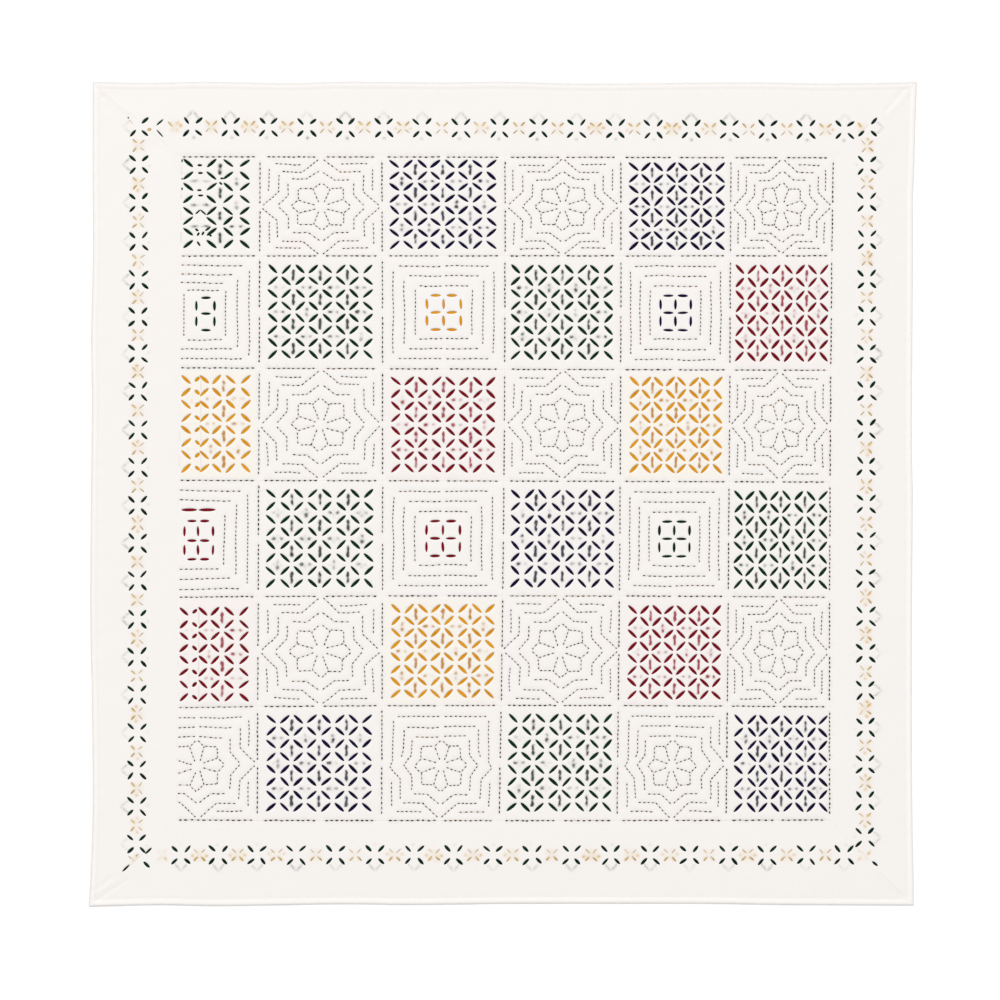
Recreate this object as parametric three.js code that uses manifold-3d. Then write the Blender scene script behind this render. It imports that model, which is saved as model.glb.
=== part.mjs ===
// Applique bedspread: a square white cotton cover laid out flat, seen from above.
// 36 blocks, cut or stitched, lie in 6 rows and 6 columns inside a mitred border.
// Units are millimetres. +Z is up, +X runs to the right and +Y to the head end.
// The origin is at the middle of the underside.

import * as THREE from 'three';
import { mergeVertices } from 'three/addons/utils/BufferGeometryUtils.js';
import Module from 'manifold-3d';

const wasm = await Module();
wasm.setup();

// Whole cover
const HALF = 1125; // half the side of the square
const GAP = 0.3; // clearance between layers and between neighbouring pieces
const MITRE_EASE = 0.25; // how far each border strip is drawn back along itself at a mitre
const SHEET = 1.0; // thickness of the back sheet and of a coloured patch

// Layers, as heights of their undersides
const PATCH_BOTTOM = SHEET + GAP;
const PLAIN_BOTTOM = SHEET + GAP; // border strips and the blocks with no full patch
const LEAF_BOTTOM = PATCH_BOTTOM + SHEET + GAP; // leaf blocks lie on their patch

// Heights of the top surface
const LEAF_TOP = { seam: 3.6, margin: 4.0, field: 3.9 };
const PLAIN_TOP = { seam: 3.2, puff: 3.9, trough: 3.3, middle: 3.0 };
const PATCH_SHARE = 0.95; // a patch's size as a share of its block's
const HEM_WIDTH = 14;
const HEM_STITCH = 18; // the hem's stitch line, in from the edge

// Leaf slits
const LEAF = { length: 34, width: 7.5, cells: 8, span: 0.87, margin: 0.96, field: 0.92 };
const LEAF_FLOWERS = [2, 6]; // lattice corners, in cells, where four cut leaves meet
const SMALL_LEAF = { length: 28, width: 7, column: 0.132, row: 0.29 };

// Stitched outlines as shares of a block's half width
const NESTED = { rings: [0.82, 0.645, 0.465], edge: 0.93, core: 0.4 };
const STAR = {
  edge: 0.97,
  outer: { side: 0.7, tip: 0.945, flat: 0.704, base: 0.3 },
  between: { side: 0.62, tip: 0.825, flat: 0.624, base: 0.26 },
  inner: { side: 0.54, tip: 0.7, flat: 0.544, base: 0.225 },
  around: { side: 0.46, tip: 0.58, flat: 0.51, base: 0.18 },
};
const PETAL = { base: 0.09, baseHalf: 0.04, wide: 0.365, wideHalf: 0.13, tip: 0.48, corner: 0.37 };
const PETAL_RIDGE = { axis: 0.29, corner: 0.24 };

// Upright seams from west to east: x at the head, the middle and the foot
const COLUMN_SEAMS = [
  { head: -880, middle: -886, foot: -891 },
  { head: -663, middle: -667, foot: -671 },
  { head: -330, middle: -328, foot: -331 },
  { head: 7, middle: 4, foot: -9 },
  { head: 324, middle: 322, foot: 313 },
  { head: 625, middle: 620, foot: 612 },
  { head: 905, middle: 896, foot: 895 },
];

// Level seams from head to foot: y at the west, the middle and the east
const ROW_SEAMS = [
  { west: 921, middle: 920, east: 918 },
  { west: 650, middle: 650, east: 650 },
  { west: 344, middle: 340, east: 337 },
  { west: 36, middle: 34, east: 31 },
  { west: -284, middle: -280, east: -284 },
  { west: -586, middle: -580, east: -584 },
  { west: -893, middle: -895, east: -893 },
];

// The westmost blocks were made full size and then trimmed by the border seam
const UNTRIMMED_WEST = -1000;

// What each block is, from head to foot and west to east: its kind and its patch's colour.
// A blunt star has no point to the north.
const BLOCKS = [
  ['leaf green', 'star', 'leaf navy', 'star', 'leaf navy', 'star'],
  ['nested green', 'leaf green', 'nested gold', 'leaf green', 'nested navy', 'leaf red'],
  ['leaf gold', 'star', 'leaf red', 'star', 'leaf gold', 'star'],
  ['nested red', 'leaf green', 'nested red', 'leaf navy', 'nested green', 'leaf green'],
  ['leaf red', 'star', 'leaf gold', 'star', 'leaf red', 'star'],
  ['star blunt', 'leaf navy', 'star blunt', 'leaf green', 'star blunt', 'leaf navy'],
];

// How far each edge strays out of the true square, by the place along it
const EDGES = {
  north: [
    { along: -954, out: -1.5 },
    { along: -806, out: 1.6 },
    { along: -584, out: -2.8 },
    { along: -437, out: 1.8 },
    { along: -170, out: -0.4 },
    { along: 7, out: 1.8 },
    { along: 229, out: -3.6 },
    { along: 672, out: 0.2 },
    { along: 855, out: -3.4 },
    { along: 1041, out: -1.5 },
  ],
  south: [
    { along: -937, out: -0.6 },
    { along: -773, out: 2.1 },
    { along: -445, out: -2.8 },
    { along: -281, out: -0.9 },
    { along: -116, out: -2.3 },
    { along: 48, out: -4.2 },
    { along: 541, out: -4.1 },
    { along: 705, out: -1.5 },
    { along: 869, out: -0.1 },
  ],
  west: [
    { along: -1044, out: 1.8 },
    { along: -896, out: -3.4 },
    { along: -749, out: -3.9 },
    { along: -565, out: -1.7 },
    { along: -305, out: 2.7 },
    { along: 64, out: -0.1 },
    { along: 256, out: -2.0 },
    { along: 434, out: 0.2 },
    { along: 655, out: -4.7 },
    { along: 877, out: -3.6 },
  ],
  east: [
    { along: -1044, out: -1.4 },
    { along: -896, out: -4.2 },
    { along: -650, out: -6.1 },
    { along: -305, out: -5.6 },
    { along: -18, out: -3.6 },
    { along: 174, out: -5.8 },
    { along: 655, out: -3.1 },
    { along: 803, out: -3.4 },
    { along: 877, out: 0.0 },
    { along: 1025, out: 4.0 },
  ],
};
const CORNERS = {
  southwest: new THREE.Vector2(-1132, -1129),
  southeast: new THREE.Vector2(1124, -1126),
  northeast: new THREE.Vector2(1133, 1126),
  northwest: new THREE.Vector2(-1121, 1126),
};

// Section across a border strip: distance from the seam or from the edge, and height of the top
const BORDER_SECTION = [
  { seam: 0, height: 3.0 },
  { seam: 16, height: 3.5 },
  { share: 0.52, height: 3.4 },
  { edge: HEM_STITCH, height: 2.7 },
  { edge: HEM_WIDTH / 2, height: 3.3 },
  { edge: 0, height: 2.6 },
];
const STEPS_PER_BLOCK = 4; // stations along a border strip for each block's width

// Low wrinkles that cross the border strips
const WRINKLES = [
  { side: 'west', along: -1010, height: 0.45, spread: 34 },
  { side: 'west', along: -895, height: -0.4, spread: 30 },
  { side: 'west', along: -817, height: 0.5, spread: 36 },
  { side: 'west', along: -660, height: -0.4, spread: 34 },
  { side: 'west', along: -585, height: 0.45, spread: 30 },
  { side: 'west', along: 260, height: 0.3, spread: 40 },
  { side: 'south', along: -780, height: 0.4, spread: 44 },
  { side: 'south', along: -330, height: -0.35, spread: 40 },
  { side: 'south', along: 470, height: 0.35, spread: 44 },
  { side: 'east', along: 340, height: 0.35, spread: 38 },
  { side: 'east', along: -585, height: -0.35, spread: 38 },
  { side: 'north', along: -580, height: 0.3, spread: 44 },
];

// Cloths
const CLOTH = {
  back: new THREE.MeshStandardMaterial({ color: '#efebe5', roughness: 0.9, metalness: 0 }),
  border: new THREE.MeshStandardMaterial({ color: '#f7f3ef', roughness: 0.9, metalness: 0 }),
  block: new THREE.MeshStandardMaterial({ color: '#faf6f2', roughness: 0.9, metalness: 0 }),
  green: new THREE.MeshStandardMaterial({ color: '#0f3a2b', roughness: 0.85, metalness: 0 }),
  navy: new THREE.MeshStandardMaterial({ color: '#140f3a', roughness: 0.85, metalness: 0 }),
  red: new THREE.MeshStandardMaterial({ color: '#8c0f22', roughness: 0.85, metalness: 0 }),
  gold: new THREE.MeshStandardMaterial({ color: '#dd9a1c', roughness: 0.85, metalness: 0 }),
};

/** The value at t, from 0 to 1, on the parabola through three evenly spaced values. */
function bow(start, middle, end, t) {
  return start * (1 - t) * (1 - 2 * t) + 4 * middle * t * (1 - t) + end * t * (2 * t - 1);
}

/** A point turned about the origin by a number of quarter turns. */
function turned([x, y], quarters) {
  const turns = [[x, y], [-y, x], [-x, -y], [y, -x]];
  return turns[quarters];
}

/** A flat list of triangles that becomes one closed solid. */
class Cloth {
  constructor() {
    this.corners = [];
  }

  triangle(a, b, c) {
    this.corners.push(a, b, c);
  }

  /** Fills an outline, less its holes; each point keeps its own height. */
  fill(outline, holes = [], faceDown = false) {
    const points = [outline, ...holes].flat();
    for (const [i, j, k] of THREE.ShapeUtils.triangulateShape(outline, holes)) {
      const [a, b, c] = [points[i], points[j], points[k]];
      const turn = (b.x - a.x) * (c.y - a.y) - (b.y - a.y) * (c.x - a.x);
      if (turn > 0 !== faceDown) this.triangle(a, b, c);
      else this.triangle(a, c, b);
    }
  }

  /** Joins an outline, run anticlockwise, to a peak inside it. */
  peak(outline, top) {
    outline.forEach((point, i) => this.triangle(top, point, outline[(i + 1) % outline.length]));
  }

  /** Joins a closed outline to its shadow at the underside; a hole is run clockwise. */
  wall(outline, bottom) {
    outline.forEach((point, i) => {
      const next = outline[(i + 1) % outline.length];
      const [low, nextLow] = [atHeight(point, bottom), atHeight(next, bottom)];
      this.triangle(point, low, nextLow);
      this.triangle(point, nextLow, next);
    });
  }

  geometry() {
    const made = new THREE.BufferGeometry();
    const values = this.corners.flatMap((point) => [point.x, point.y, point.z]);
    made.setAttribute('position', new THREE.Float32BufferAttribute(values, 3));
    return mergeVertices(made, 1e-3);
  }
}

function atHeight(point, z) {
  return new THREE.Vector3(point.x, point.y, z);
}

/** Where the seam below a row line and along a column line cross. */
function seamCorner(row, column) {
  const upright = COLUMN_SEAMS[column];
  const level = ROW_SEAMS[row];
  const down = row / (ROW_SEAMS.length - 1);
  const across = column / (COLUMN_SEAMS.length - 1);
  return new THREE.Vector2(
    bow(upright.head, upright.middle, upright.foot, down),
    bow(level.west, level.middle, level.east, across),
  );
}

/** A block's four corners, anticlockwise from the south west, drawn in by half the gap. */
function blockCorners(row, column) {
  const ease = GAP / 2;
  return [
    seamCorner(row + 1, column).add(new THREE.Vector2(ease, ease)),
    seamCorner(row + 1, column + 1).add(new THREE.Vector2(-ease, ease)),
    seamCorner(row, column + 1).add(new THREE.Vector2(-ease, -ease)),
    seamCorner(row, column).add(new THREE.Vector2(ease, -ease)),
  ];
}

/** A block's four corners before it was trimmed by the border seam. */
function fullCorners(row, column) {
  const corners = blockCorners(row, column);
  if (column > 0) return corners;
  corners[0].x = UNTRIMMED_WEST;
  corners[3].x = UNTRIMMED_WEST;
  return corners;
}

/** Maps a block's own u and v, each from -1 to 1, to a point at a height. */
function frameOf(corners) {
  const [southwest, southeast, northeast, northwest] = corners;
  return (u, v, z) => {
    const across = (u + 1) / 2;
    const up = (v + 1) / 2;
    const south = southwest.clone().lerp(southeast, across);
    const north = northwest.clone().lerp(northeast, across);
    return atHeight(south.lerp(north, up), z);
  };
}

function squareLoop(at, half, z) {
  return [[-half, -half], [half, -half], [half, half], [-half, half]].map(([u, v]) => at(u, v, z));
}

/** A square with a point in the middle of each side, or nearly flat to the north, anticlockwise. */
function tippedLoop(at, { side, tip, flat, base }, z, northTip) {
  const loop = [];
  for (let quarter = 0; quarter < 4; quarter += 1) {
    const reach = quarter === 1 && !northTip ? flat : tip;
    for (const point of [[side, -side], [side, -base], [reach, 0], [side, base]]) {
      const [u, v] = turned(point, quarter);
      loop.push(at(u, v, z));
    }
  }
  return loop;
}

/** A leaf-shaped slit as four points, clockwise so that it reads as a hole. */
function slit(at, u, v, angle, { length, width }, z) {
  const centre = at(u, v, z);
  const along = new THREE.Vector3(Math.cos(angle), Math.sin(angle), 0).multiplyScalar(length / 2);
  const aside = new THREE.Vector3(-Math.sin(angle), Math.cos(angle), 0).multiplyScalar(width / 2);
  return [
    centre.clone().add(along),
    centre.clone().sub(aside),
    centre.clone().sub(along),
    centre.clone().add(aside),
  ];
}

/** The slits of a leaf block that are cut in the solid: four flowers of four leaves. */
function leafSlits(at, z) {
  const slits = [];
  const pitch = (2 * LEAF.span) / LEAF.cells;
  for (const cornerColumn of LEAF_FLOWERS) {
    for (const cornerRow of LEAF_FLOWERS) {
      for (const [aside, up] of [[-1, -1], [1, -1], [1, 1], [-1, 1]]) {
        const u = -LEAF.span + (cornerColumn + aside / 2) * pitch;
        const v = -LEAF.span + (cornerRow + up / 2) * pitch;
        slits.push(slit(at, u, v, (Math.PI / 4) * aside * up, LEAF, z));
      }
    }
  }
  return slits;
}

/** The level slits of the small lattice inside the nested squares. */
function smallSlits(at, z) {
  const slits = [];
  for (const row of [-1, 0, 1]) {
    for (const column of [-1, 1]) {
      slits.push(slit(at, column * SMALL_LEAF.column, row * SMALL_LEAF.row, 0, SMALL_LEAF, z));
    }
  }
  return slits;
}

/** Closes the underside and the sides of a block that has a four-cornered outline. */
function closeBlock(cloth, outline, slits, bottom) {
  const lowered = (loop) => loop.map((point) => atHeight(point, bottom));
  cloth.fill(lowered(outline), slits.map(lowered), true);
  cloth.wall(outline, bottom);
  slits.forEach((hole) => cloth.wall(hole, bottom));
}

/** A block with a lattice of leaf slits inside a raised margin. */
function leafBlock(at) {
  const cloth = new Cloth();
  const outline = squareLoop(at, 1, LEAF_TOP.seam);
  const margin = squareLoop(at, LEAF.margin, LEAF_TOP.margin);
  const field = squareLoop(at, LEAF.field, LEAF_TOP.field);
  const slits = leafSlits(at, LEAF_TOP.field);
  cloth.fill(outline, [margin]);
  cloth.fill(margin, [field]);
  cloth.fill(field, slits);
  closeBlock(cloth, outline, slits, LEAF_BOTTOM);
  return cloth.geometry();
}

/** A block whose stitched squares are troughs between puffed ridges. */
function nestedBlock(at) {
  const cloth = new Cloth();
  const outline = squareLoop(at, 1, PLAIN_TOP.seam);
  let last = outline;
  let ridge = NESTED.edge;
  for (const ring of NESTED.rings) {
    const puff = squareLoop(at, ridge, PLAIN_TOP.puff);
    const trough = squareLoop(at, ring, PLAIN_TOP.trough);
    cloth.fill(last, [puff]);
    cloth.fill(puff, [trough]);
    last = trough;
    ridge = ring - (NESTED.rings[0] - NESTED.rings[1]) / 2;
  }
  const core = squareLoop(at, NESTED.core, PLAIN_TOP.puff);
  const slits = smallSlits(at, PLAIN_TOP.puff);
  cloth.fill(last, [core]);
  cloth.fill(core, slits);
  closeBlock(cloth, outline, slits, PLAIN_BOTTOM);
  return cloth.geometry();
}

/** The flower in the middle of a star: four petals on the axes and four in the corners. */
function addFlower(cloth, at) {
  const { trough, puff, middle } = PLAIN_TOP;
  const { base, baseHalf, wide, wideHalf, tip, corner } = PETAL;
  const centre = at(0, 0, middle);
  const rim = [];
  for (let quarter = 0; quarter < 4; quarter += 1) {
    const place = (u, v, z) => {
      const [x, y] = turned([u, v], quarter);
      return at(x, y, z);
    };
    const axisPetal = [
      place(base, -baseHalf, trough),
      place(wide, -wideHalf, trough),
      place(tip, 0, trough),
      place(wide, wideHalf, trough),
      place(base, baseHalf, trough),
    ];
    const cornerPetal = [
      place(base, baseHalf, trough),
      place(wide, wideHalf, trough),
      place(corner, corner, trough),
      place(wideHalf, wide, trough),
      place(baseHalf, base, trough),
    ];
    cloth.peak(axisPetal, place(PETAL_RIDGE.axis, 0, puff));
    cloth.peak(cornerPetal, place(PETAL_RIDGE.corner, PETAL_RIDGE.corner, puff));
    cloth.triangle(centre, axisPetal[0], axisPetal[4]);
    cloth.triangle(centre, cornerPetal[0], cornerPetal[4]);
    rim.push(axisPetal[1], axisPetal[2], cornerPetal[1], cornerPetal[2]);
  }
  return rim;
}

/** A block whose stitched star and flower are troughs between puffed ridges. */
function starBlock(at, northTip) {
  const cloth = new Cloth();
  const { seam, puff, trough } = PLAIN_TOP;
  const outline = squareLoop(at, 1, seam);
  const flower = addFlower(cloth, at);
  const loops = [
    outline,
    squareLoop(at, STAR.edge, puff),
    tippedLoop(at, STAR.outer, trough, northTip),
    tippedLoop(at, STAR.between, puff, northTip),
    tippedLoop(at, STAR.inner, trough, northTip),
    tippedLoop(at, STAR.around, puff, northTip),
    flower,
  ];
  for (let i = 0; i + 1 < loops.length; i += 1) cloth.fill(loops[i], [loops[i + 1]]);
  closeBlock(cloth, outline, [], PLAIN_BOTTOM);
  return cloth.geometry();
}

/** A straight-sided prism on four corners. */
function prism(corners, bottom, thickness) {
  const solid = new THREE.ExtrudeGeometry(new THREE.Shape(corners), {
    depth: thickness,
    bevelEnabled: false,
  });
  return solid.translate(0, 0, bottom);
}

function toManifold(geometry) {
  const bare = geometry.clone();
  bare.deleteAttribute('normal');
  bare.deleteAttribute('uv');
  const merged = mergeVertices(bare, 1e-3);
  return new wasm.Manifold(
    new wasm.Mesh({
      numProp: 3,
      vertProperties: merged.attributes.position.array,
      triVerts: Uint32Array.from(merged.index.array),
    }),
  );
}

/** The part of a solid that lies inside another. */
function keepInside(geometry, cutter) {
  const cut = toManifold(geometry).intersect(toManifold(cutter)).getMesh();
  const kept = new THREE.BufferGeometry();
  kept.setAttribute('position', new THREE.Float32BufferAttribute(cut.vertProperties, 3));
  kept.setIndex([...cut.triVerts]);
  return kept;
}

/** A block of the given kind, trimmed by the border seam where it lies in the first column. */
function blockGeometry(kind, variant, row, column) {
  const at = frameOf(fullCorners(row, column));
  const makers = {
    leaf: () => leafBlock(at),
    nested: () => nestedBlock(at),
    star: () => starBlock(at, variant !== 'blunt'),
  };
  const whole = makers[kind]();
  if (column > 0) return whole;
  return keepInside(whole, prism(blockCorners(row, column), 0, HALF));
}

/** The coloured patch under a leaf block, a little smaller than the block. */
function patchGeometry(row, column) {
  const at = frameOf(blockCorners(row, column));
  const corners = squareLoop(at, PATCH_SHARE, 0).map(({ x, y }) => new THREE.Vector2(x, y));
  return prism(corners, PATCH_BOTTOM, SHEET);
}

// The four sides: outward direction, corners and the seam corners along them
const LAST_ROW = ROW_SEAMS.length - 1;
const LAST_COLUMN = COLUMN_SEAMS.length - 1;
const SIDES = {
  south: {
    out: new THREE.Vector2(0, -1),
    corners: ['southwest', 'southeast'],
    seam: (i) => seamCorner(LAST_ROW, i),
  },
  east: {
    out: new THREE.Vector2(1, 0),
    corners: ['southeast', 'northeast'],
    seam: (i) => seamCorner(LAST_ROW - i, LAST_COLUMN),
  },
  north: {
    out: new THREE.Vector2(0, 1),
    corners: ['northeast', 'northwest'],
    seam: (i) => seamCorner(0, LAST_COLUMN - i),
  },
  west: {
    out: new THREE.Vector2(-1, 0),
    corners: ['northwest', 'southwest'],
    seam: (i) => seamCorner(i, 0),
  },
};

/** The direction in which a side is run, so that the cover lies on its left. */
function runOf(side) {
  const { out } = SIDES[side];
  return new THREE.Vector2(-out.y, out.x);
}

/** The outer edge of a side as a smooth curve from corner to corner. */
function edgeCurve(side) {
  const { out, corners } = SIDES[side];
  const run = runOf(side);
  const rows = [...EDGES[side]].sort((a, b) => (a.along - b.along) * (run.x + run.y));
  const along = new THREE.Vector2(Math.abs(run.x), Math.abs(run.y));
  const between = rows.map((row) =>
    out.clone().multiplyScalar(HALF + row.out).addScaledVector(along, row.along));
  return new THREE.SplineCurve([CORNERS[corners[0]], ...between, CORNERS[corners[1]]]);
}

/** Where a border strip meets the blocks, at a station along it. */
function seamPoint(side, station) {
  const { seam, out } = SIDES[side];
  const block = Math.min(Math.floor(station / STEPS_PER_BLOCK), LAST_ROW - 1);
  const share = station / STEPS_PER_BLOCK - block;
  return seam(block).lerp(seam(block + 1), share).addScaledVector(out, GAP / 2);
}

/** How far across a strip of this width a section row lies, from 0 at the seam to 1 at the edge. */
function shareAcross(row, width) {
  if ('share' in row) return row.share;
  if ('seam' in row) return row.seam / width;
  return 1 - row.edge / width;
}

/** The height that the wrinkles add at a place along a side; they fade towards the seam. */
function wrinkleHeight(side, along, across) {
  return WRINKLES.filter((wrinkle) => wrinkle.side === side).reduce((sum, { height, spread, ...w }) => {
    const away = (along - w.along) / spread;
    return sum + height * Math.exp(-away * away) * Math.sin(Math.PI * Math.min(across, 1));
  }, 0);
}

/** A mitred border strip as a grid of stations by section rows, closed below. */
function borderGeometry(side) {
  const cloth = new Cloth();
  const curve = edgeCurve(side);
  const run = runOf(side);
  const last = LAST_ROW * STEPS_PER_BLOCK;
  const grid = [];
  for (let station = 0; station <= last; station += 1) {
    const inner = seamPoint(side, station);
    const outer = curve.getPointAt(station / last);
    const ease = station === 0 ? MITRE_EASE : station === last ? -MITRE_EASE : 0;
    const width = Math.abs(outer.clone().sub(inner).dot(SIDES[side].out));
    grid.push(BORDER_SECTION.map((row) => {
      const across = shareAcross(row, width);
      const place = inner.clone().lerp(outer, across).addScaledVector(run, ease);
      const along = Math.abs(run.x) > 0 ? place.x : place.y;
      return atHeight(place, row.height + wrinkleHeight(side, along, across));
    }));
  }
  const rows = BORDER_SECTION.length - 1;
  for (let i = 0; i < last; i += 1) {
    for (let j = 0; j < rows; j += 1) {
      cloth.fill([grid[i][j], grid[i][j + 1], grid[i + 1][j + 1], grid[i + 1][j]]);
    }
  }
  closeStrip(cloth, grid, PLAIN_BOTTOM);
  return cloth.geometry();
}

/** Closes a strip's underside with level faces, and its four sides. */
function closeStrip(cloth, grid, bottom) {
  const low = grid.map((row) => row.map((point) => atHeight(point, bottom)));
  const last = low.length - 1;
  const rows = low[0].length - 1;
  for (let i = 1; i < last - 1; i += 1) {
    cloth.fill([low[i][0], low[i][rows], low[i + 1][rows], low[i + 1][0]], [], true);
  }
  for (let j = 0; j < rows; j += 1) {
    cloth.fill([low[1][0], low[0][j], low[0][j + 1]], [], true);
    cloth.fill([low[last - 1][0], low[last][j], low[last][j + 1]], [], true);
  }
  cloth.fill([low[1][0], low[0][rows], low[1][rows]], [], true);
  cloth.fill([low[last - 1][0], low[last - 1][rows], low[last][rows]], [], true);
  const outerEdge = grid.map((row) => row[rows]);
  const innerEdge = grid.map((row) => row[0]).reverse();
  const rim = [...grid[0].slice(0, rows), ...outerEdge, ...grid[last].slice(1, rows).reverse()];
  cloth.wall([...rim, ...innerEdge.slice(0, -1)], bottom);
}

/** The back sheet, cut to the same edge as the border strips. */
function backGeometry() {
  const stations = LAST_ROW * STEPS_PER_BLOCK;
  const outline = Object.keys(SIDES).flatMap((side) => {
    const curve = edgeCurve(side);
    return Array.from({ length: stations }, (_, i) => curve.getPointAt(i / stations));
  });
  return prism(outline, 0, SHEET);
}

const bedspread = new THREE.Group();

function add(name, geometry, material) {
  const mesh = new THREE.Mesh(geometry, material);
  mesh.name = name;
  bedspread.add(mesh);
}

add('back_sheet', backGeometry(), CLOTH.back);
Object.keys(SIDES).forEach((side) => add(`border_${side}`, borderGeometry(side), CLOTH.border));
BLOCKS.forEach((blocks, row) => blocks.forEach((words, column) => {
  const [kind, variant] = words.split(' ');
  const place = `row${row + 1}_col${column + 1}`;
  if (kind === 'leaf') add(`patch_${place}`, patchGeometry(row, column), CLOTH[variant]);
  add(`${kind}_${place}`, blockGeometry(kind, variant, row, column), CLOTH.block);
}));

// The origin is the middle of the whole cover, not of the true square
const middle = new THREE.Box3().setFromObject(bedspread).getCenter(new THREE.Vector3());
bedspread.position.set(-middle.x, -middle.y, 0);

export default bedspread;
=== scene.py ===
"""Looks of the applique bedspread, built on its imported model.

The cover lies flat. Lengths are in millimetres until a mesh is made, and a mesh is in metres.
+X runs to the right, +Y to the head end and +Z up.
"""
import logging
import math
from dataclasses import dataclass, field
from enum import Enum
from typing import Callable, Optional, Sequence, Union

import bpy
import numpy as np
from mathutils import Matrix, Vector, kdtree
from mathutils.geometry import delaunay_2d_cdt


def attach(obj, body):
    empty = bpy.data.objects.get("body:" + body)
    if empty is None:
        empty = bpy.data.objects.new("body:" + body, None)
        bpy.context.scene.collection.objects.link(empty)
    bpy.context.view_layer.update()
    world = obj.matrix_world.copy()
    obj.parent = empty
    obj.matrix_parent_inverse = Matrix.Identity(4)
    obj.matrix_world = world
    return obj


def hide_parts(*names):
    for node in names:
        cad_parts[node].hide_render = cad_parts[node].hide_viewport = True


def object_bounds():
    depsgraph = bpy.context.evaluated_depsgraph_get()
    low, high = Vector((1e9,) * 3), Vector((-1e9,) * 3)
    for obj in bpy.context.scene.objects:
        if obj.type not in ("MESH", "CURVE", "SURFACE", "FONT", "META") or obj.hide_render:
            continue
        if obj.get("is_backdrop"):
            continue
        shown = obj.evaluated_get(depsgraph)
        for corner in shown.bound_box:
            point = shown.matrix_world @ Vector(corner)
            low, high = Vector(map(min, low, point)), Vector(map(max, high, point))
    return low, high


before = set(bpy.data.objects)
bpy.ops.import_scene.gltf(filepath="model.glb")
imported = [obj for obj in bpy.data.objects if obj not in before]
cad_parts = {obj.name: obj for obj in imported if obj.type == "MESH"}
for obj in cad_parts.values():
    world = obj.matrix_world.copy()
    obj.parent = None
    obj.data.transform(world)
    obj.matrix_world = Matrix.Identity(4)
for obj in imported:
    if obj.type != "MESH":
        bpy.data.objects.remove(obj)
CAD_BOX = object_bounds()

LOG = logging.getLogger("bedspread")

MM = 0.001
LAYOUT_SHIFT = np.array([-0.5, 1.096])  # the layout's own origin, seen from the model's
HALF = 1125.0  # half the side of the square
GAP = 0.04  # clearance between neighbouring tops
MITRE_EASE = 0.03  # how far each border strip is drawn back along itself at a mitre

# Heights, in millimetres above the surface it lies on
BACK_TOP = 1.0
PATCH_TOP = 2.3
SKIRT_BOTTOM = 1.08
LEAF_FIELD = 3.9
PLAIN_TROUGH = 3.35
PLAIN_PUFF = 0.55

SHARP_EDGE = 72.0  # degrees; the turned-down edge at a seam is crisp, the hem's edge is round
HEM_WIDTH = 14.0
HEM_STITCH = 18.0
RIM_KNOTS = (0.0, 0.5, 1.25, 2.5, 4.6, 8.0)  # how far from a cut its edge's heights are given
BAND_PITCH = 105.0  # from one green cross to the next
FAR = 1000.0  # farther than anything matters
LEVEL, UPRIGHT = 0.0, math.pi / 2
SQUARE = np.array([[-1, -1], [1, -1], [1, 1], [-1, 1]], dtype=float)


class Dye(Enum):
    """The colours of the cloths under the white tops."""

    GREEN = "green"
    NAVY = "navy"
    RED = "red"
    GOLD = "gold"


class Side(Enum):
    """The four sides of the cover, with the direction that points out of each."""

    SOUTH = (0, -1)
    EAST = (1, 0)
    NORTH = (0, 1)
    WEST = (-1, 0)


class Kind(Enum):
    """The kinds of block."""

    LEAF = "leaf"
    NESTED = "nested"
    STAR = "star"


class ShowThrough(Enum):
    """What shows faintly through a white top."""

    NOTHING = "nothing"
    LATTICE = "lattice"
    BAND = "band"


@dataclass(frozen=True)
class Bow:
    """Three evenly spaced values and the parabola through them."""

    start: float
    middle: float
    end: float

    def at(self, share: float) -> float:
        """The parabola's value at a share of the way, from 0 at the start to 1 at the end."""
        rising = self.end * share * (2 * share - 1)
        return self.start * (1 - share) * (1 - 2 * share) + 4 * self.middle * share * (1 - share) + rising


# Upright seams from west to east: x at the head, the middle and the foot
COLUMN_SEAMS = (
    Bow(-880, -886, -891),
    Bow(-663, -667, -671),
    Bow(-330, -328, -331),
    Bow(7, 4, -9),
    Bow(324, 322, 313),
    Bow(625, 620, 612),
    Bow(905, 896, 895),
)
# Level seams from head to foot: y at the west, the middle and the east
ROW_SEAMS = (
    Bow(921, 920, 918),
    Bow(650, 650, 650),
    Bow(344, 340, 337),
    Bow(36, 34, 31),
    Bow(-284, -280, -284),
    Bow(-586, -580, -584),
    Bow(-893, -895, -893),
)
UNTRIMMED_WEST = -1000.0  # the westmost blocks were made this wide, then trimmed by the border seam
LAST_ROW = len(ROW_SEAMS) - 1
LAST_COLUMN = len(COLUMN_SEAMS) - 1

# What each block is, from head to foot and west to east
BLOCKS = (
    ("leaf green", "star", "leaf navy", "star", "leaf navy", "star"),
    ("nested green", "leaf green", "nested gold", "leaf green", "nested navy", "leaf red"),
    ("leaf gold", "star", "leaf red", "star", "leaf gold", "star"),
    ("nested red", "leaf green", "nested red", "leaf navy", "nested green", "leaf green"),
    ("leaf red", "star", "leaf gold", "star", "leaf red", "star"),
    ("blunt star", "leaf navy", "blunt star", "leaf green", "blunt star", "leaf navy"),
)

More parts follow.
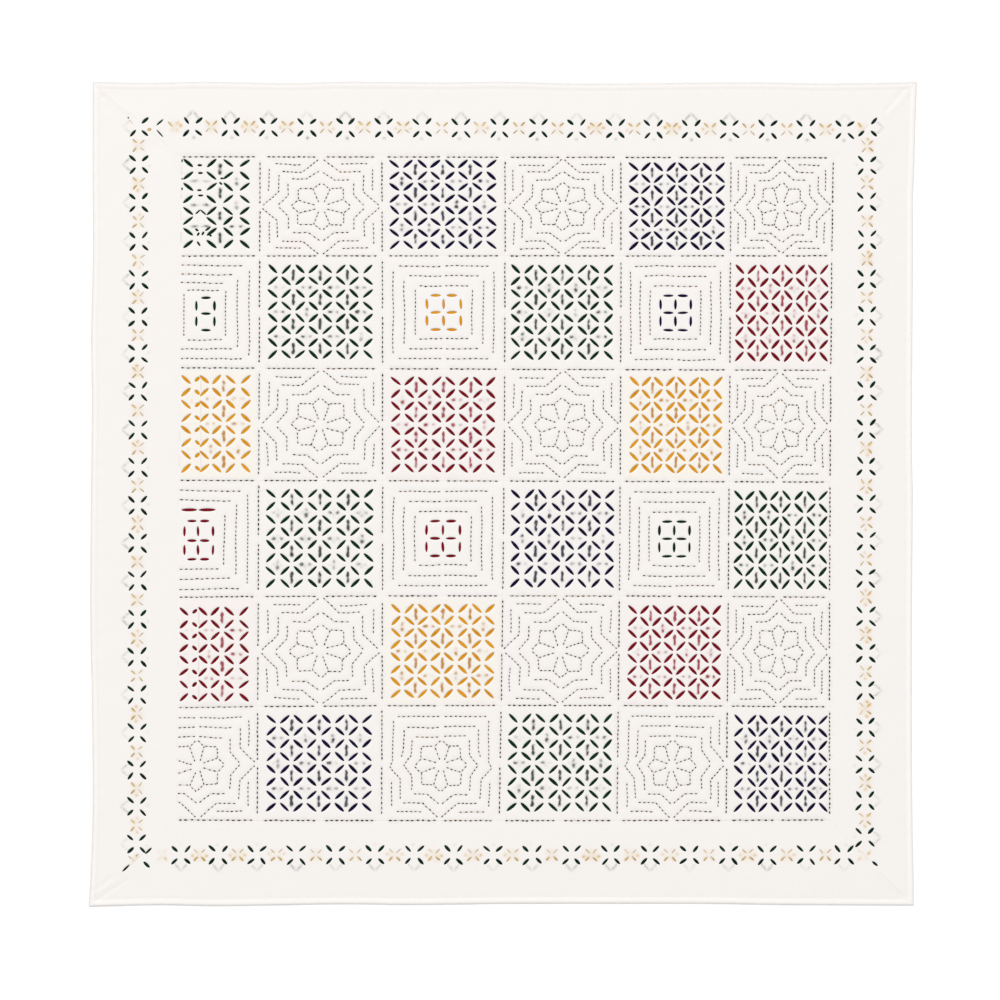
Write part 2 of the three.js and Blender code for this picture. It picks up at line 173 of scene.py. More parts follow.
# How far each edge strays out of the true square, by the place along it
EDGES = {
    Side.NORTH: (
        (-954, -1.5), (-806, 1.6), (-584, -2.8), (-437, 1.8), (-170, -0.4),
        (7, 1.8), (229, -3.6), (672, 0.2), (855, -3.4), (1041, -1.5),
    ),
    Side.SOUTH: (
        (-937, -0.6), (-773, 2.1), (-445, -2.8), (-281, -0.9), (-116, -2.3),
        (48, -4.2), (541, -4.1), (705, -1.5), (869, -0.1),
    ),
    Side.WEST: (
        (-1044, 1.8), (-896, -3.4), (-749, -3.9), (-565, -1.7), (-305, 2.7),
        (64, -0.1), (256, -2.0), (434, 0.2), (655, -4.7), (877, -3.6),
    ),
    Side.EAST: (
        (-1044, -1.4), (-896, -4.2), (-650, -6.1), (-305, -5.6), (-18, -3.6),
        (174, -5.8), (655, -3.1), (803, -3.4), (877, 0.0), (1025, 4.0),
    ),
}
CORNERS = {
    "southwest": np.array([-1132.0, -1129.0]),
    "southeast": np.array([1124.0, -1126.0]),
    "northeast": np.array([1133.0, 1126.0]),
    "northwest": np.array([-1121.0, 1126.0]),
}
SIDE_CORNERS = {
    Side.SOUTH: ("southwest", "southeast"),
    Side.EAST: ("southeast", "northeast"),
    Side.NORTH: ("northeast", "northwest"),
    Side.WEST: ("northwest", "southwest"),
}


@dataclass(frozen=True)
class Wrinkle:
    """A low wrinkle that crosses a border strip."""

    side: Side
    along: float
    height: float
    spread: float


WRINKLES = (
    Wrinkle(Side.WEST, -1010, 0.45, 34),
    Wrinkle(Side.WEST, -895, -0.4, 30),
    Wrinkle(Side.WEST, -817, 0.5, 36),
    Wrinkle(Side.WEST, -660, -0.4, 34),
    Wrinkle(Side.WEST, -585, 0.45, 30),
    Wrinkle(Side.WEST, 260, 0.3, 40),
    Wrinkle(Side.SOUTH, -780, 0.4, 44),
    Wrinkle(Side.SOUTH, -330, -0.35, 40),
    Wrinkle(Side.SOUTH, 470, 0.35, 44),
    Wrinkle(Side.EAST, 340, 0.35, 38),
    Wrinkle(Side.EAST, -585, -0.35, 38),
    Wrinkle(Side.NORTH, -580, 0.3, 44),
)


@dataclass(frozen=True)
class Crease:
    """A short soft ridge or trough near a corner, between two points."""

    start: tuple[float, float]
    end: tuple[float, float]
    height: float
    spread: float

    def distance(self, points: np.ndarray) -> np.ndarray:
        """Measures how far each point is from the crease.

        Args:
            points: Points in millimetres.

        Returns:
            The distances.
        """
        start, end = np.array(self.start), np.array(self.end)
        run = end - start
        share = np.clip((points - start) @ run / (run @ run), 0.0, 1.0)
        return np.hypot(*(points - start - share[:, None] * run).T)

    def at(self, points: np.ndarray) -> np.ndarray:
        """The height that the crease adds at each point."""
        return self.height * np.exp(-(self.distance(points) / self.spread) ** 2)

    def details(self) -> np.ndarray:
        """Lays out points that let the mesh follow the crease.

        Returns:
            Rows of points across it, from before its start to past its end.
        """
        start, end = np.array(self.start), np.array(self.end)
        length = float(np.hypot(*(end - start)))
        ahead = (end - start) / length
        aside = np.array([-ahead[1], ahead[0]])
        steps = np.arange(-6.0, length + 6.1, 4.5)
        reach = self.spread * np.array([-2.0, -1.2, -0.6, 0.0, 0.6, 1.2, 2.0])
        return (start + steps[:, None, None] * ahead + reach[None, :, None] * aside).reshape(-1, 2)


CREASES = (
    Crease((-1111, 1110), (-1093, 1085), -1.1, 5),
    Crease((-1093, 1085), (-1077, 1050), -0.9, 5),
    Crease((-1093, 1102), (-1026, 1044), 1.1, 6),
    Crease((-957, 954), (-918, 932), -0.5, 5),
    Crease((1052, 1052), (1102, 1108), -0.95, 6),
    Crease((1058, 1038), (1108, 1094), 0.65, 7),
    Crease((-1110, -1113), (-1028, -1058), -0.7, 5),
    Crease((-1110, -1083), (-1069, -1050), -0.6, 5),
    Crease((-1118, -1098), (-1050, -1056), 0.5, 5),
    Crease((1022, -1025), (1080, -1088), 0.9, 6),
)

# The lattice's margins inside its block: west, east, north and south
LATTICE_MARGINS = {
    (1, 3): (16, 20, 2.5, 14.5),
    (1, 5): (18.5, 13.5, 10.5, 10),
    (2, 2): (18, 21.5, 19, 21),
    (2, 4): (12.5, 15.5, 19.5, 22.5),
    (2, 6): (10, 2, 21, 19.5),
    (3, 3): (17, 17.5, 15.5, 16.5),
    (3, 5): (22.5, 16.5, 15.5, 18),
    (4, 2): (14.5, 17.5, 16.5, 16),
    (4, 4): (15, 9, 18, 18.5),
    (4, 6): (9.5, 2.5, 21, 17),
    (5, 3): (17.5, 15, 16.5, 15.5),
    (5, 5): (20, 13.5, 20.5, 13.5),
    (6, 2): (18.5, 22, 17.5, 18.5),
    (6, 4): (15.5, 9, 17.5, 19.5),
    (6, 6): (19, 0.5, 20.5, 18),
}
TRIMMED_MARGINS = (16, 20, 18, 19)
LATTICE_CELLS = 8

Points = np.ndarray  # rows of x and y, in millimetres
Heights = np.ndarray
Relief = Callable[[Points], Heights]
Values = dict[str, np.ndarray]
Material = bpy.types.Material
Piece = bpy.types.Object


def linear(colour: str) -> tuple[float, float, float, float]:
    """Turns a colour that is written as on a screen into the renderer's own values.

    Args:
        colour: Red, green and blue as six hexadecimal digits after a hash.

    Returns:
        Red, green, blue and an alpha of 1.
    """
    parts = [int(colour[i:i + 2], 16) / 255 for i in (1, 3, 5)]
    red, green, blue = (p / 12.92 if p <= 0.04045 else ((p + 0.055) / 1.055) ** 2.4 for p in parts)
    return (red, green, blue, 1.0)


def operation(name: str, flipped: bool = False) -> Callable[..., "Signal"]:
    """Makes an operator of Signal that adds one Math node.

    Args:
        name: The Math node's operation.
        flipped: True where the other value comes first.

    Returns:
        The operator.
    """
    def operator(self: "Signal", *others: "Operand") -> "Signal":
        """Adds the Math node for this signal and the others.

        Args:
            others: The operation's other values.

        Returns:
            The node's output.
        """
        values = (self, *others)
        inputs = dict(enumerate(values[::-1] if flipped else values))
        return self.plan.node("ShaderNodeMath", {"operation": name}, inputs)

    return operator


class Signal:
    """A node's output that takes arithmetic: each operator adds one Math node."""

    __add__ = operation("ADD")
    __radd__ = operation("ADD", flipped=True)
    __sub__ = operation("SUBTRACT")
    __rsub__ = operation("SUBTRACT", flipped=True)
    __mul__ = operation("MULTIPLY")
    __rmul__ = operation("MULTIPLY", flipped=True)
    __truediv__ = operation("DIVIDE")
    __lt__ = operation("LESS_THAN")
    __gt__ = operation("GREATER_THAN")
    __abs__ = operation("ABSOLUTE")
    rounded = operation("ROUND")
    sine = operation("SINE")
    exponent = operation("EXPONENT")
    at_least = operation("MAXIMUM")
    at_most = operation("MINIMUM")

    def __init__(self, plan: "NodePlan", socket: bpy.types.NodeSocket) -> None:
        """Keeps the node plan and the socket."""
        self.plan = plan
        self.socket = socket

    def odd(self) -> "Signal":
        """Gives 1 where a whole number is odd, and 0 where it is even."""
        return abs((self * 0.5).rounded() * 2 - self)

    def clamped(self) -> "Signal":
        """Keeps the value from 0 to 1."""
        return self.at_least(0.0).at_most(1.0)

    def bell(self, centre: "Operand", width: float) -> "Signal":
        """Gives a smooth bump with its top, 1, at the centre, and about a third at the width."""
        away = (self - centre) / width
        return (away * away * -1.0).exponent()


Operand = Union[Signal, float]
Settings = dict[str, object]
Inputs = dict[Union[int, str], object]


class NodePlan:
    """The nodes of one material."""

    def __init__(self, name: str) -> None:
        """Starts an empty material.

        Args:
            name: The material's name.
        """
        self.material = bpy.data.materials.new(name)
        self.material.use_nodes = True
        self.tree = self.material.node_tree
        self.tree.nodes.clear()

    def node(self, kind: str, settings: Settings, inputs: Inputs, output: Union[int, str] = 0) -> Signal:
        """Adds a node.

        Args:
            kind: The node's type.
            settings: Its settings, which are set first.
            inputs: A value or a signal for each named or numbered socket.
            output: Which output the signal is.

        Returns:
            The output as a signal.
        """
        made = self.tree.nodes.new(kind)
        for key, value in settings.items():
            setattr(made, key, value)
        for key, value in inputs.items():
            if isinstance(value, Signal):
                self.tree.links.new(value.socket, made.inputs[key])
            else:
                made.inputs[key].default_value = value
        return Signal(self, made.outputs[output] if made.outputs else None)

    def attribute(self, name: str) -> Signal:
        """Reads a number that the mesh carries."""
        return self.node("ShaderNodeAttribute", {"attribute_name": name}, {}, "Fac")

    def parts(self, name: str) -> tuple[Signal, ...]:
        """Reads three numbers that the mesh carries as one vector."""
        vector = self.node("ShaderNodeAttribute", {"attribute_name": name}, {}, "Vector")
        return tuple(self.node("ShaderNodeSeparateXYZ", {}, {0: vector}, i) for i in range(3))

    def place(self) -> Signal:
        """Gives the point on the surface, in metres."""
        return self.node("ShaderNodeTexCoord", {}, {}, "Object")

    def join(self, x: Operand, y: Operand, z: Operand) -> Signal:
        """Makes a vector of three numbers."""
        return self.node("ShaderNodeCombineXYZ", {}, {0: x, 1: y, 2: z})

    def noise(self, place: Signal, scale: float, detail: float = 2.0) -> Signal:
        """Adds smooth noise about a half, with bumps of this scale and this many finer layers."""
        inputs = {"Vector": place, "Scale": scale, "Detail": detail}
        return self.node("ShaderNodeTexNoise", {}, inputs, "Fac")

    def chances(self, place: Signal) -> tuple[Signal, ...]:
        """Gives three random numbers, from 0 to 1, for a place in whole numbers."""
        colour = self.node("ShaderNodeTexWhiteNoise", {"noise_dimensions": "3D"}, {"Vector": place}, "Color")
        return tuple(self.node("ShaderNodeSeparateColor", {}, {0: colour}, i) for i in range(3))

    def mix(self, share: Operand, first: object, second: object) -> Signal:
        """Mixes two colours, with this share of the second."""
        return self.node("ShaderNodeMix", {"data_type": "RGBA"}, {0: share, 6: first, 7: second}, 2)

    def weave(self, pitch: float) -> Signal:
        """Gives the height of a plain weave.

        Args:
            pitch: The spacing of its threads, in millimetres.

        Returns:
            The height, from about -1 to 1.
        """
        place = self.place()
        turn = math.pi / (pitch * MM)
        across = self.node("ShaderNodeSeparateXYZ", {}, {0: place}, 0) * turn
        up = self.node("ShaderNodeSeparateXYZ", {}, {0: place}, 1) * turn
        return across.sine() * up.sine()

    def bump(self, height: Signal, depth: float, strength: float) -> Signal:
        """Turns a height from 0 to 1, this deep in millimetres, into a normal."""
        inputs = {"Height": height, "Distance": depth * MM, "Strength": strength}
        return self.node("ShaderNodeBump", {}, inputs, "Normal")

    def finish(self, inputs: Inputs) -> Material:
        """Ends the material in its shader.

        Args:
            inputs: A value or a signal for each of the shader's sockets.

        Returns:
            The material.
        """
        shader = self.node("ShaderNodeBsdfPrincipled", {}, inputs)
        self.node("ShaderNodeOutputMaterial", {}, {"Surface": shader})
        return self.material


def warm_stretches(plan: NodePlan) -> Signal:
    """Marks the stretches where the thread is browner, from 0 to 1."""
    return ((plan.noise(plan.place(), 9.5, 1.0) - 0.56) * 7.0).clamped()


@dataclass(frozen=True)
class WhiteCotton:
    """White cotton that the dark threads and the cloth under it show through; the threads' grey also paints
    shade into the stitch troughs, and the border's hem gets a painted highlight.
    """

    name: str
    shows: ShowThrough = ShowThrough.NOTHING
    ghost: str = "#7c7c80"
    tint: str = "#efebe8"
    colour: str = "#efebe8"
    # Grey where dark thread shows through, also used as painted shade in the stitch troughs and along the
    # border's outer edge
    thread_and_painted_shade: str = "#a9a39d"
    warm_thread_and_painted_shade: str = "#c9b29c"

    def lattice_ghosts(self, plan: NodePlan) -> Signal:
        """Marks where folded cloth shows between the leaves of a lattice.

        Args:
            plan: The material's nodes.

        Returns:
            How strongly it shows, from 0 to 1.
        """
        column, row, seed = plan.parts("lattice")
        smear = plan.noise(plan.place(), 75.0) * 0.2 - 0.1
        smudge = plan.noise(plan.place(), 130.0)
        nearest_column = column.rounded()
        nearest_row = row.rounded()
        aside = column - nearest_column + smear
        up = row - nearest_row - smear
        first, second, third = plan.chances(plan.join(nearest_column, nearest_row, seed))
        is_gap = (nearest_column + nearest_row).odd()
        odd_column = nearest_column.odd()
        inside = (abs(nearest_column - 4) < 3.5) * (abs(nearest_row - 4) < 3.5)
        upright = up.bell(-0.27, 0.15) * (0.5 + first * 1.6) + up.bell(0.27, 0.15) * (0.5 + second * 1.6)
        upright = upright + up.bell(0.0, 0.34) * (0.45 + third * 1.1)
        level = aside.bell(-0.28, 0.15) * (0.3 + third * 1.6) + aside.bell(0.26, 0.13) * (0.1 + second)
        short = up.bell(0.22, 0.16) * (0.4 + third * 1.4) + up.bell(-0.2, 0.14) * (0.1 + second)
        columns = (1 - odd_column) * upright * aside.bell(0.0, 0.095)
        rows = level * up.bell(0.0, 0.12) * (first < 0.62) + short * aside.bell(0.0, 0.12) * (first > 0.62)
        rows = rows * odd_column
        made = (columns + rows) * is_gap * inside * (smudge * 2.1 - 0.05)
        return made.clamped() * plan.attribute("shown") * 0.97

    def band_ghosts(self, plan: NodePlan) -> Signal:
        """Marks the chevrons and folds that show round the crosses of the border.

        Args:
            plan: The material's nodes.

        Returns:
            How strongly they show, from 0 to 1.
        """
        place, out, shown = plan.parts("band")
        nearest = place.rounded()
        along = (place - nearest) * BAND_PITCH
        first, second, third = plan.chances(plan.join(nearest, 0.0, 1.0))
        smudge = plan.noise(plan.place(), 120.0)
        spread = abs(along)
        open_tip = 1 - along.bell(0.0, 3.5) * 0.55
        chevron = (out + spread).bell(42.0, 5.4) * (spread < 17.0) * open_tip * (0.18 + first * 0.36)
        at_head = 0.22 + (abs(place - 88.5) < 12.0) * 0.78
        fold = out.bell(-29.0, 4.4) * along.bell((second - 0.5) * 10.0, 4.5) * (0.3 + third * 0.7) * at_head
        return ((chevron + fold) * shown * (smudge * 2.2 - 0.3)).clamped()

    def gold_ghosts(self, plan: NodePlan) -> Signal:
        """Marks the gold cloth that shows through round the small crosses of the border.

        Args:
            plan: The material's nodes.

        Returns:
            How strongly it shows, from 0 to 1.
        """
        place, out, shown = plan.parts("band")
        between = place - 0.5
        nearest = between.rounded()
        along = (between - nearest) * BAND_PITCH
        first, second, third = plan.chances(plan.join(nearest, 0.0, 2.0))
        smudge = plan.noise(plan.place(), 140.0)
        arms = (abs(along) - abs(out)).bell(0.0, 5.6) * (abs(along) + abs(out)).bell(21.0, 9.0)
        outward = 0.28 + (out > 0.0) * (0.3 + first * 0.5) + (along > 0.0) * (second - 0.5) * 0.3
        middle = along.bell(0.0, 15.0) * out.bell(0.0, 15.0) * (0.1 + third * 0.25)
        knots = (along > 0.0) * (first > 0.5) + (along < 0.0) * (second > 0.5)
        knots = knots * abs(along).bell(20.0, 4.6) * out.bell((third - 0.5) * 8.0, 4.6)
        knots = knots * (0.45 + third * 0.7)
        return ((arms * outward + middle + knots) * shown * (smudge * 1.8 - 0.1)).clamped()

    def material(self) -> Material:
        """Makes the material.

        Returns:
            The material.
        """
        plan = NodePlan(self.name)
        place = plan.place()
        mottle = plan.noise(place, 9.0, 4.0)
        grain = plan.noise(place, 420.0, 1.0)
        base = plan.mix((mottle - 0.5) * 0.12 + 0.04, linear(self.colour), linear("#e6e0da"))
        if self.shows is ShowThrough.LATTICE:
            base = plan.mix(plan.attribute("field") * 0.8, base, linear(self.tint))
            base = plan.mix(self.lattice_ghosts(plan), base, linear(self.ghost))
        if self.shows is ShowThrough.BAND:
            base = plan.mix(self.band_ghosts(plan), base, linear(self.ghost))
            base = plan.mix(self.gold_ghosts(plan), base, linear("#d9b672"))
            # Painted highlight: the hem's band is mixed towards a brighter white
            base = plan.mix(plan.attribute("hem") * (0.3 + mottle * 0.6), base, linear("#f6f3f0"))
        # Dark thread showing through along the stitches, mixed with painted shade in their troughs and along
        # the border's outer edge
        shadow = plan.mix(warm_stretches(plan), linear(self.thread_and_painted_shade), linear(self.warm_thread_and_painted_shade))
        base = plan.mix(plan.attribute("thread_and_painted_shade") * (0.33 + grain * 0.46), base, shadow)
        height = plan.weave(0.7) * 0.5 + plan.noise(place, 900.0, 1.0)
        return plan.finish({
            "Base Color": base,
            "Roughness": 0.82 + grain * 0.14,
            "Specular IOR Level": 0.2,
            "Normal": plan.bump(height, 0.16, 0.5),
        })


@dataclass(frozen=True)
class DyedCotton:
    """Plain-woven cotton in one colour, a little uneven and darker in places."""

    name: str
    colour: str
    deep: str

    def material(self) -> Material:
        """Makes the material.

        Returns:
            The material.
        """
        plan = NodePlan(self.name)
        place = plan.place()
        patchy = plan.noise(place, 38.0, 3.0)
        grain = plan.noise(place, 700.0, 1.0)
        share = (patchy * 1.8 - 0.55 + (grain - 0.5) * 0.3).clamped()
        height = plan.weave(0.6) * 0.6 + grain
        return plan.finish({
            "Base Color": plan.mix(share, linear(self.colour), linear(self.deep)),
            "Roughness": 0.8 + grain * 0.15,
            "Specular IOR Level": 0.06,
            "Normal": plan.bump(height, 0.14, 0.5),
        })


@dataclass(frozen=True)
class SewingThread:
    """Twisted cotton thread whose darkness differs from stitch to stitch."""

    name: str
    dark: str
    light: str
    warm: str

    def material(self) -> Material:
        """Makes the material.

        Returns:
            The material.
        """
        plan = NodePlan(self.name)
        tone = plan.attribute("tone")
        twist = plan.noise(plan.place(), 1100.0, 1.0)
        share = (tone + (twist - 0.5) * 0.3).clamped()
        plain = plan.mix(share, linear(self.dark), linear(self.light))
        return plan.finish({
            "Base Color": plan.mix(warm_stretches(plan) * 0.8, plain, linear(self.warm)),
            "Roughness": 0.7 + twist * 0.2,
            "Specular IOR Level": 0.1,
            "Normal": plan.bump(twist, 0.25, 0.6),
        })


@dataclass(frozen=True)
class StudioPaper:
    """The pale floor."""

    name: str = "studio_paper"

    def material(self) -> Material:
        """Makes the material.

        Returns:
            The material.
        """
        plan = NodePlan(self.name)
        grain = plan.noise(plan.place(), 2.0)
        return plan.finish({
            "Base Color": plan.mix(grain, linear("#fbfbfb"), linear("#fdfdfd")),
            "Roughness": 0.95,
            "Specular IOR Level": 0.0,
        })


# What shows through the white cloth over each dye, and the white's own tint there
WHITE_TONES = {
    Dye.GREEN: ("#363e3a", "#eeebe7"),
    Dye.NAVY: ("#383845", "#edeae7"),
    Dye.RED: ("#96414c", "#efe9e6"),
    Dye.GOLD: ("#b98544", "#f0ebe2"),
}
# Each dyed cloth's colour, and its darker one
DYED_TONES = {
    Dye.GREEN: ("#0b2f22", "#061a13"),
    Dye.NAVY: ("#120e36", "#090720"),
    Dye.RED: ("#7f0c1e", "#580616"),
    Dye.GOLD: ("#dc9a1d", "#c07a0e"),
}


@dataclass(frozen=True)
class Wardrobe:
    """Every finish of the cover, made once and handed out by name."""

    plain: Material
    back: Material
    band: Material
    lattice: dict[Dye, Material]
    dyed: dict[Dye, Material]
    pale_gold: Material
    quilting: Material
    hemming: Material

    @classmethod
    def make(cls) -> "Wardrobe":
        """Makes the finishes.

        Returns:
            All of them.
        """
        return cls(
            plain=WhiteCotton("white_cotton_cloth").material(),
            back=WhiteCotton("back_cotton_cloth", colour="#ebe6e0").material(),
            band=WhiteCotton("border_cotton_cloth", ShowThrough.BAND, "#8b8583").material(),
            lattice={
                dye: WhiteCotton(f"white_over_{dye.value}", ShowThrough.LATTICE, *tones).material()
                for dye, tones in WHITE_TONES.items()
            },
            dyed={
                dye: DyedCotton(f"{dye.value}_cotton_cloth", *tones).material()
                for dye, tones in DYED_TONES.items()
            },
            pale_gold=DyedCotton("pale_gold_cotton_cloth", "#e6cb8d", "#bd9a5c").material(),
            quilting=SewingThread("quilting_thread", "#191716", "#463f3a", "#5d3f2c").material(),
            hemming=SewingThread("hemming_thread", "#efe9e2", "#d9d2c9", "#e6ded5").material(),
        )


def turned(points: Points, quarters: int) -> Points:
    """Turns points about the origin by a number of quarter turns, anticlockwise."""
    cosine, sine = ((1, 0), (0, 1), (-1, 0), (0, -1))[quarters % 4]
    return points @ np.array([[cosine, sine], [-sine, cosine]], dtype=float)


def plan_area(loop: Points) -> float:
    """The area inside a closed outline."""
    x, y = loop[:, 0], loop[:, 1]
    return abs(float(np.sum(x * np.roll(y, -1) - np.roll(x, -1) * y))) / 2


def seam_corner(row: int, column: int) -> np.ndarray:
    """Where the level seam above a row crosses the upright seam west of a column."""
    return np.array([COLUMN_SEAMS[column].at(row / LAST_ROW), ROW_SEAMS[row].at(column / LAST_COLUMN)])


def block_corners(row: int, column: int, trimmed: bool = True) -> Points:
    """Gives a block's corners, anticlockwise from the south west.

    Args:
        row: The block's row, from 0 at the head.
        column: The block's column, from 0 in the west.
        trimmed: False for the full size that a westmost block was made in.

    Returns:
        Four corners, each drawn in by half the gap.
    """
    ease = GAP / 2
    corners = np.array([
        seam_corner(row + 1, column) + (ease, ease),
        seam_corner(row + 1, column + 1) + (-ease, ease),
        seam_corner(row, column + 1) + (-ease, -ease),
        seam_corner(row, column) + (ease, -ease),
    ])
    if column == 0 and not trimmed:
        corners[[0, 3], 0] = UNTRIMMED_WEST
    return corners


class Trail:
    """A line of straight parts that gives places along itself."""

    def __init__(self, points: Points) -> None:
        """Measures the line.

        Args:
            points: Its corners, in order.
        """
        self.points = np.asarray(points, dtype=float)
        steps = np.hypot(*np.diff(self.points, axis=0).T)
        self.lengths = np.concatenate([[0.0], np.cumsum(steps)])

    @property
    def length(self) -> float:
        """The line's whole length."""
        return float(self.lengths[-1])

    def at(self, distances: np.ndarray) -> Points:
        """The points at these distances from the start."""
        return np.stack([np.interp(distances, self.lengths, self.points[:, i]) for i in (0, 1)], axis=-1)

    def spaced(self, step: float) -> Points:
        """Evenly spaced points from the start to the end, at about this step."""
        count = max(1, round(self.length / step))
        return self.at(np.linspace(0.0, self.length, count + 1))


def of_length_one(vectors: Points) -> Points:
    """Scales vectors to a length of 1."""
    return vectors / np.maximum(np.hypot(*vectors.T), 1e-9)[:, None]


def left_of(vectors: Points) -> Points:
    """Turns vectors a quarter turn to the left."""
    return np.stack([-vectors[:, 1], vectors[:, 0]], axis=1)


def drawn_in(loop: Points, distance: float) -> Points:
    """Moves an anticlockwise outline inwards.

    Args:
        loop: The outline.
        distance: How far in.

    Returns:
        The new outline.
    """
    before = of_length_one(loop - np.roll(loop, 1, axis=0))
    after = of_length_one(np.roll(loop, -1, axis=0) - loop)
    normals = left_of(before + after)
    size = np.maximum(np.hypot(*normals.T), 0.5)
    stretch = np.minimum(2.0 / size, 2.2)
    return loop + normals / size[:, None] * (distance * stretch)[:, None]


@dataclass
class QuadShape:
    """A cloth with four corners, and its own u and v from -1 to 1."""

    corners: Points

    def loop(self, step: float) -> Points:
        """The outline as spaced points, anticlockwise, with every corner kept."""
        sides = zip(self.corners, np.roll(self.corners, -1, axis=0))
        return np.vstack([Trail(np.array(side)).spaced(step)[:-1] for side in sides])

    def depth(self, points: Points) -> np.ndarray:
        """Measures how far inside the outline each point is.

        Args:
            points: Points in millimetres.

        Returns:
            The depths; less than zero is outside.
        """
        found = []
        for start, end in zip(self.corners, np.roll(self.corners, -1, axis=0)):
            run = (end - start) / np.hypot(*(end - start))
            away = points - start
            found.append(run[0] * away[:, 1] - run[1] * away[:, 0])
        return np.min(found, axis=0)

    def at(self, places: Points) -> Points:
        """Turns places in u and v into points.

        Args:
            places: Rows of u and v.

        Returns:
            The points.
        """
        across = (places[:, :1] + 1) / 2
        up = (places[:, 1:] + 1) / 2
        south = self.corners[0] * (1 - across) + self.corners[1] * across
        north = self.corners[3] * (1 - across) + self.corners[2] * across
        return south * (1 - up) + north * up

    def places(self, points: Points) -> Points:
        """Turns points into places in u and v.

        Args:
            points: Points in millimetres.

        Returns:
            Their u and v, found by a few steps of correction.
        """
        low = self.corners.min(axis=0)
        high = self.corners.max(axis=0)
        found = (points - low) / (high - low) * 2 - 1
        for _ in range(4):
            found = found + (points - self.at(found)) / (high - low) * 2
        return found

    @property
    def size(self) -> tuple[float, float]:
        """The cloth's width and height."""
        low, high = self.corners.min(axis=0), self.corners.max(axis=0)
        return (float(high[0] - low[0]), float(high[1] - low[1]))


class StripShape:
    """A mitred border strip, in its side's own frame: along the side, and outwards."""

    def __init__(self, side: Side) -> None:
        """Lays out the inner seam, the outer edge and the mitres.

        Args:
            side: The cover's side that it is on.
        """
        self.side = side
        self.out = np.array(side.value, dtype=float)
        self.run = np.array([-self.out[1], self.out[0]])
        self.seam = self.own(self.seam_points())
        self.seam[:, 1] += GAP / 2
        self.edge = self.own(self.edge_points())

    def own(self, points: Points) -> Points:
        """Turns layout points into the strip's own frame."""
        return np.stack([points @ self.run, points @ self.out], axis=1)

    def common(self, points: Points) -> Points:
        """Turns points in the strip's own frame into layout points."""
        return points[:, :1] * self.run + points[:, 1:] * self.out

    def seam_points(self) -> Points:
        """Finds the corners of the blocks along this side.

        Returns:
            The corners, in order along the strip.
        """
        last = range(LAST_ROW + 1)
        corners = {
            Side.SOUTH: [seam_corner(LAST_ROW, i) for i in last],
            Side.EAST: [seam_corner(LAST_ROW - i, LAST_COLUMN) for i in last],
            Side.NORTH: [seam_corner(0, LAST_COLUMN - i) for i in last],
            Side.WEST: [seam_corner(i, 0) for i in last],
        }
        return np.array(corners[self.side])

    def edge_points(self) -> Points:
        """Draws the outer edge.

        Returns:
            A smooth curve from corner to corner.
        """
        start, end = (CORNERS[name] for name in SIDE_CORNERS[self.side])
        along = np.abs(self.run)
        rows = [self.out * (HALF + stray) + along * place for place, stray in EDGES[self.side]]
        rows.sort(key=lambda point: float(point @ self.run))
        knots = np.array([start, start, *rows, end, end])
        curve = []
        for i in range(len(knots) - 3):
            before, here, there, after = knots[i:i + 4]
            for share in np.linspace(0.0, 1.0, 12, endpoint=False):
                leaving, arriving = (there - before) / 2, (after - here) / 2
                cubic = (2 * here - 2 * there + leaving + arriving) * share ** 3
                square = (3 * there - 3 * here - 2 * leaving - arriving) * share ** 2
                curve.append(cubic + square + leaving * share + here)
        return np.array([*curve, end])

    def from_seam(self, own: Points) -> np.ndarray:
        """How far out of the inner seam each point is."""
        return own[:, 1] - np.interp(own[:, 0], self.seam[:, 0], self.seam[:, 1])

    def from_edge(self, own: Points) -> np.ndarray:
        """How far in from the outer edge each point is."""
        return np.interp(own[:, 0], self.edge[:, 0], self.edge[:, 1]) - own[:, 1]

    def loop(self, step: float) -> Points:
        """Spaces points along the outline, anticlockwise.

        Args:
            step: About how far apart they are.

        Returns:
            The points.
        """
        ease = np.array([MITRE_EASE, 0.0])
        seam, edge = self.seam.copy(), self.edge.copy()
        seam[0], edge[0] = seam[0] + ease, edge[0] + ease
        seam[-1], edge[-1] = seam[-1] - ease, edge[-1] - ease
        parts = [edge, np.array([edge[-1], seam[-1]]), seam[::-1], np.array([seam[0], edge[0]])]
        return self.common(np.vstack([Trail(part).spaced(step)[:-1] for part in parts]))

    def depth(self, points: Points) -> np.ndarray:
        """Measures how far inside the outline each point is.

        Args:
            points: Points in millimetres.

        Returns:
            The depths; less than zero is outside.
        """
        own = self.own(points)
        found = [self.from_seam(own), self.from_edge(own)]
        for inner, outer, turn in ((self.seam[0], self.edge[0], -1), (self.seam[-1], self.edge[-1], 1)):
            run = (outer - inner) / np.hypot(*(outer - inner))
            away = own - inner
            found.append(turn * (run[0] * away[:, 1] - run[1] * away[:, 0]) - MITRE_EASE * 0.7)
        return np.min(found, axis=0)


Shape = Union[QuadShape, StripShape]


